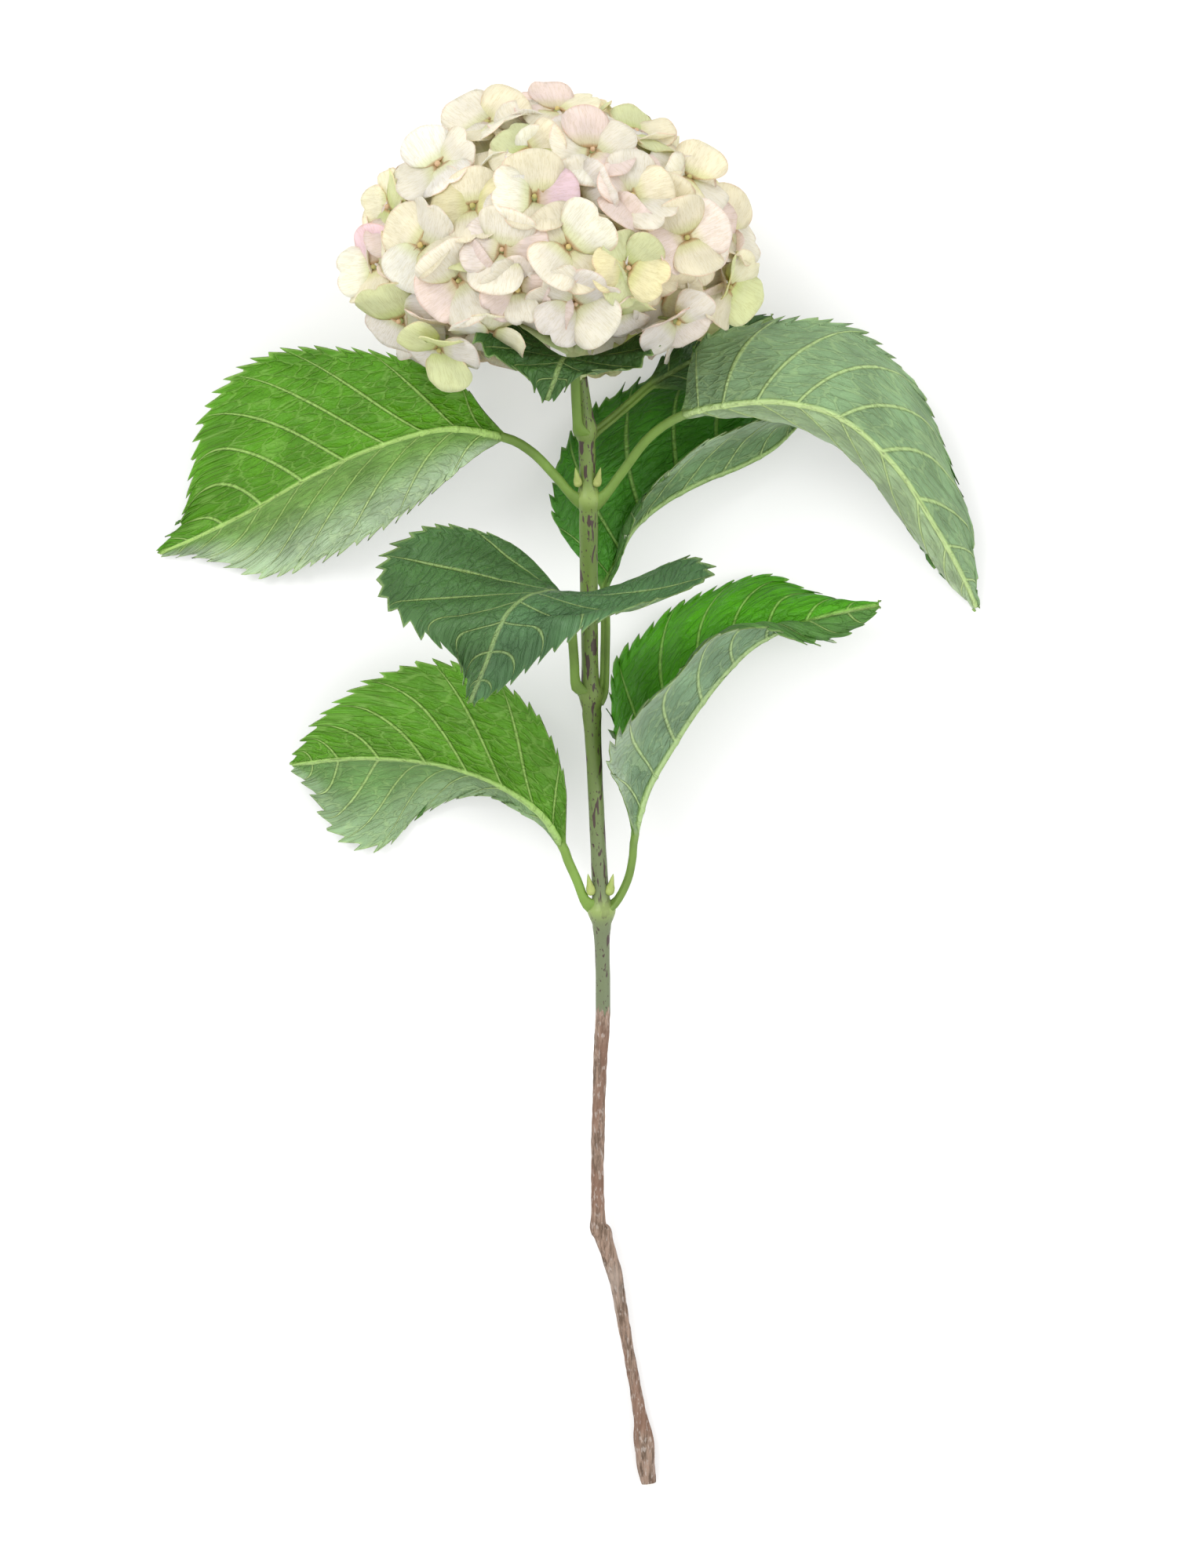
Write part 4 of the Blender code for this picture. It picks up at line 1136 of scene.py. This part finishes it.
def build_inner_florets(settings, material):
    """A second, deeper layer of simpler florets that fills the gaps, in a few pieces."""
    units = spread_units(INNER_SPREAD)
    for group in range(INNER_GROUPS):
        bm = petal_mesh()
        for number in range(group, INNER_SPREAD, INNER_GROUPS):
            rng = random.Random(INNER_SEED + number)
            centre, facing = dome_place(units[number], INNER_SHARE + rng.uniform(-0.04, 0.02))
            lean = Vector([rng.uniform(-INNER_TILT, INNER_TILT) for _ in range(3)])
            lean.y -= rim_lean(centre, facing)
            lean.z += VIEW_LEAN * max(0.0, units[number].z)
            facing = (facing + lean).normalized()
            first = rng.choice(("cream", "blush", "white"))
            tints = (first, "milk", rng.choice(("milk", "white", "green")))
            add_floret(bm, centre, facing, INNER_SEPAL, tints, rng, settings, INNER_SEPAL_SEGMENTS)
        press_down(bm)
        piece_from(bm, f"inner_florets_{group + 1}", material, "petal")


def build_stage(settings):
    """A wide pale table that glows, soft light from all round with two large lamps, and a camera that looks
    straight down."""
    bm = bmesh.new()
    bmesh.ops.create_grid(bm, x_segments=1, y_segments=1, size=TABLE_HALF)
    mesh = bpy.data.meshes.new("table")
    bm.to_mesh(mesh)
    bm.free()
    made, tree, shader = blank_material("table")
    cloud = noise_of(tree, object_point(tree), 3.0)
    duller = (*(0.985 * channel for channel in settings.table), 1)
    pale = mixed(tree, stepped(tree, cloud, 0.3, 0.7), (*settings.table, 1), duller)
    tree.links.new(pale, shader.inputs["Base Color"])
    shader.inputs["Roughness"].default_value = 0.8
    shader.inputs["Specular IOR Level"].default_value = 0.2
    shader.inputs["Emission Color"].default_value = (1.0, 1.0, 1.0, 1)
    shader.inputs["Emission Strength"].default_value = settings.glow
    mesh.materials.append(made)
    table = bpy.data.objects.new("table", mesh)
    bpy.context.scene.collection.objects.link(table)
    world = bpy.data.worlds.new("soft room")
    world.use_nodes = True
    world.node_tree.nodes["Background"].inputs["Color"].default_value = (1.0, 1.0, 1.0, 1)
    world.node_tree.nodes["Background"].inputs["Strength"].default_value = WORLD_STRENGTH
    bpy.context.scene.world = world
    for name, place, size, power in LAMPS:
        light = bpy.data.lights.new(name, "AREA")
        light.shape = "DISK"
        light.size = size
        light.energy = power
        lamp = bpy.data.objects.new(name, light)
        lamp.location = place
        lamp.rotation_euler = (Vector(settings.aim) - Vector(place)).to_track_quat("-Z", "Y").to_euler()
        bpy.context.scene.collection.objects.link(lamp)
    lens = bpy.data.cameras.new("camera")
    lens.lens = settings.lens
    lens.sensor_width = SENSOR
    lens.clip_end = 100
    camera = bpy.data.objects.new("camera", lens)
    distance = settings.view_height * settings.lens / SENSOR
    camera.location = Vector(settings.aim) + Vector((0, 0, distance))
    bpy.context.scene.collection.objects.link(camera)
    bpy.context.scene.camera = camera
    bpy.context.scene.view_settings.view_transform = "Standard"


# Operators and panel


class HYDRANGEA_OT_stem(bpy.types.Operator):
    """Build the stem"""

    bl_idname = "hydrangea.stem"
    bl_label = "Stem"

    def execute(self, context):
        build_stem(context.scene.hydrangea_stem)
        return {"FINISHED"}


class HYDRANGEA_OT_leaves(bpy.types.Operator):
    """Build the eight leaves"""

    bl_idname = "hydrangea.leaves"
    bl_label = "Leaves"

    def execute(self, context):
        material = leaf_material()
        for name, table in LEAVES.items():
            build_leaf(name, table, context.scene.hydrangea_leaf, material)
        return {"FINISHED"}


class HYDRANGEA_OT_axil_buds(bpy.types.Operator):
    """Build the buds in the leaf axils"""

    bl_idname = "hydrangea.axil_buds"
    bl_label = "Axil buds"

    def execute(self, context):
        material = shoot_material("bud scales", (0.30, 0.40, 0.09), (0.38, 0.42, 0.13))
        for name, (base, tip, radius) in BUDS.items():
            build_axil_bud(name, base, tip, radius, material)
        return {"FINISHED"}


class HYDRANGEA_OT_flower_stalks(bpy.types.Operator):
    """Build the hub and the branches that carry the florets"""

    bl_idname = "hydrangea.flower_stalks"
    bl_label = "Flower stalks"

    def execute(self, context):
        build_flower_stalks(shoot_material("flower stalk", (0.40, 0.50, 0.20), (0.52, 0.56, 0.28)))
        return {"FINISHED"}


class HYDRANGEA_OT_florets(bpy.types.Operator):
    """Build the outer florets and the layer beneath them"""

    bl_idname = "hydrangea.florets"
    bl_label = "Florets"

    def execute(self, context):
        material = petal_material()
        build_florets(context.scene.hydrangea_floret, material)
        build_inner_florets(context.scene.hydrangea_floret, material)
        return {"FINISHED"}


class HYDRANGEA_OT_stage(bpy.types.Operator):
    """Build the table, the light and the camera"""

    bl_idname = "hydrangea.stage"
    bl_label = "Stage"

    def execute(self, context):
        build_stage(context.scene.hydrangea_stage)
        return {"FINISHED"}


OPERATORS = (
    HYDRANGEA_OT_stem,
    HYDRANGEA_OT_leaves,
    HYDRANGEA_OT_axil_buds,
    HYDRANGEA_OT_flower_stalks,
    HYDRANGEA_OT_florets,
    HYDRANGEA_OT_stage,
)
SETTINGS = {
    "hydrangea_stem": StemSettings,
    "hydrangea_leaf": LeafSettings,
    "hydrangea_floret": FloretSettings,
    "hydrangea_stage": StageSettings,
}


class HYDRANGEA_PT_pieces(bpy.types.Panel):
    """Lists the settings and the pieces"""

    bl_idname = "HYDRANGEA_PT_pieces"
    bl_label = "Cut hydrangea"
    bl_space_type = "VIEW_3D"
    bl_region_type = "UI"
    bl_category = "Hydrangea"

    def draw(self, context):
        for key in SETTINGS:
            settings = getattr(context.scene, key)
            box = self.layout.box()
            for name in settings.__annotations__:
                box.prop(settings, name)
        for operator in OPERATORS:
            self.layout.operator(operator.bl_idname)


def register():
    for cls in (*SETTINGS.values(), *OPERATORS, HYDRANGEA_PT_pieces):
        bpy.utils.register_class(cls)
    for key, cls in SETTINGS.items():
        setattr(bpy.types.Scene, key, PointerProperty(type=cls))


def unregister():
    for key in SETTINGS:
        delattr(bpy.types.Scene, key)
    for cls in (HYDRANGEA_PT_pieces, *reversed(OPERATORS), *reversed(SETTINGS.values())):
        bpy.utils.unregister_class(cls)


def main():
    register()
    bpy.ops.hydrangea.stem()
    bpy.ops.hydrangea.leaves()
    bpy.ops.hydrangea.axil_buds()
    bpy.ops.hydrangea.flower_stalks()
    bpy.ops.hydrangea.florets()
    bpy.ops.hydrangea.stage()
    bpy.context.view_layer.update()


if __name__ == "__main__":
    main()
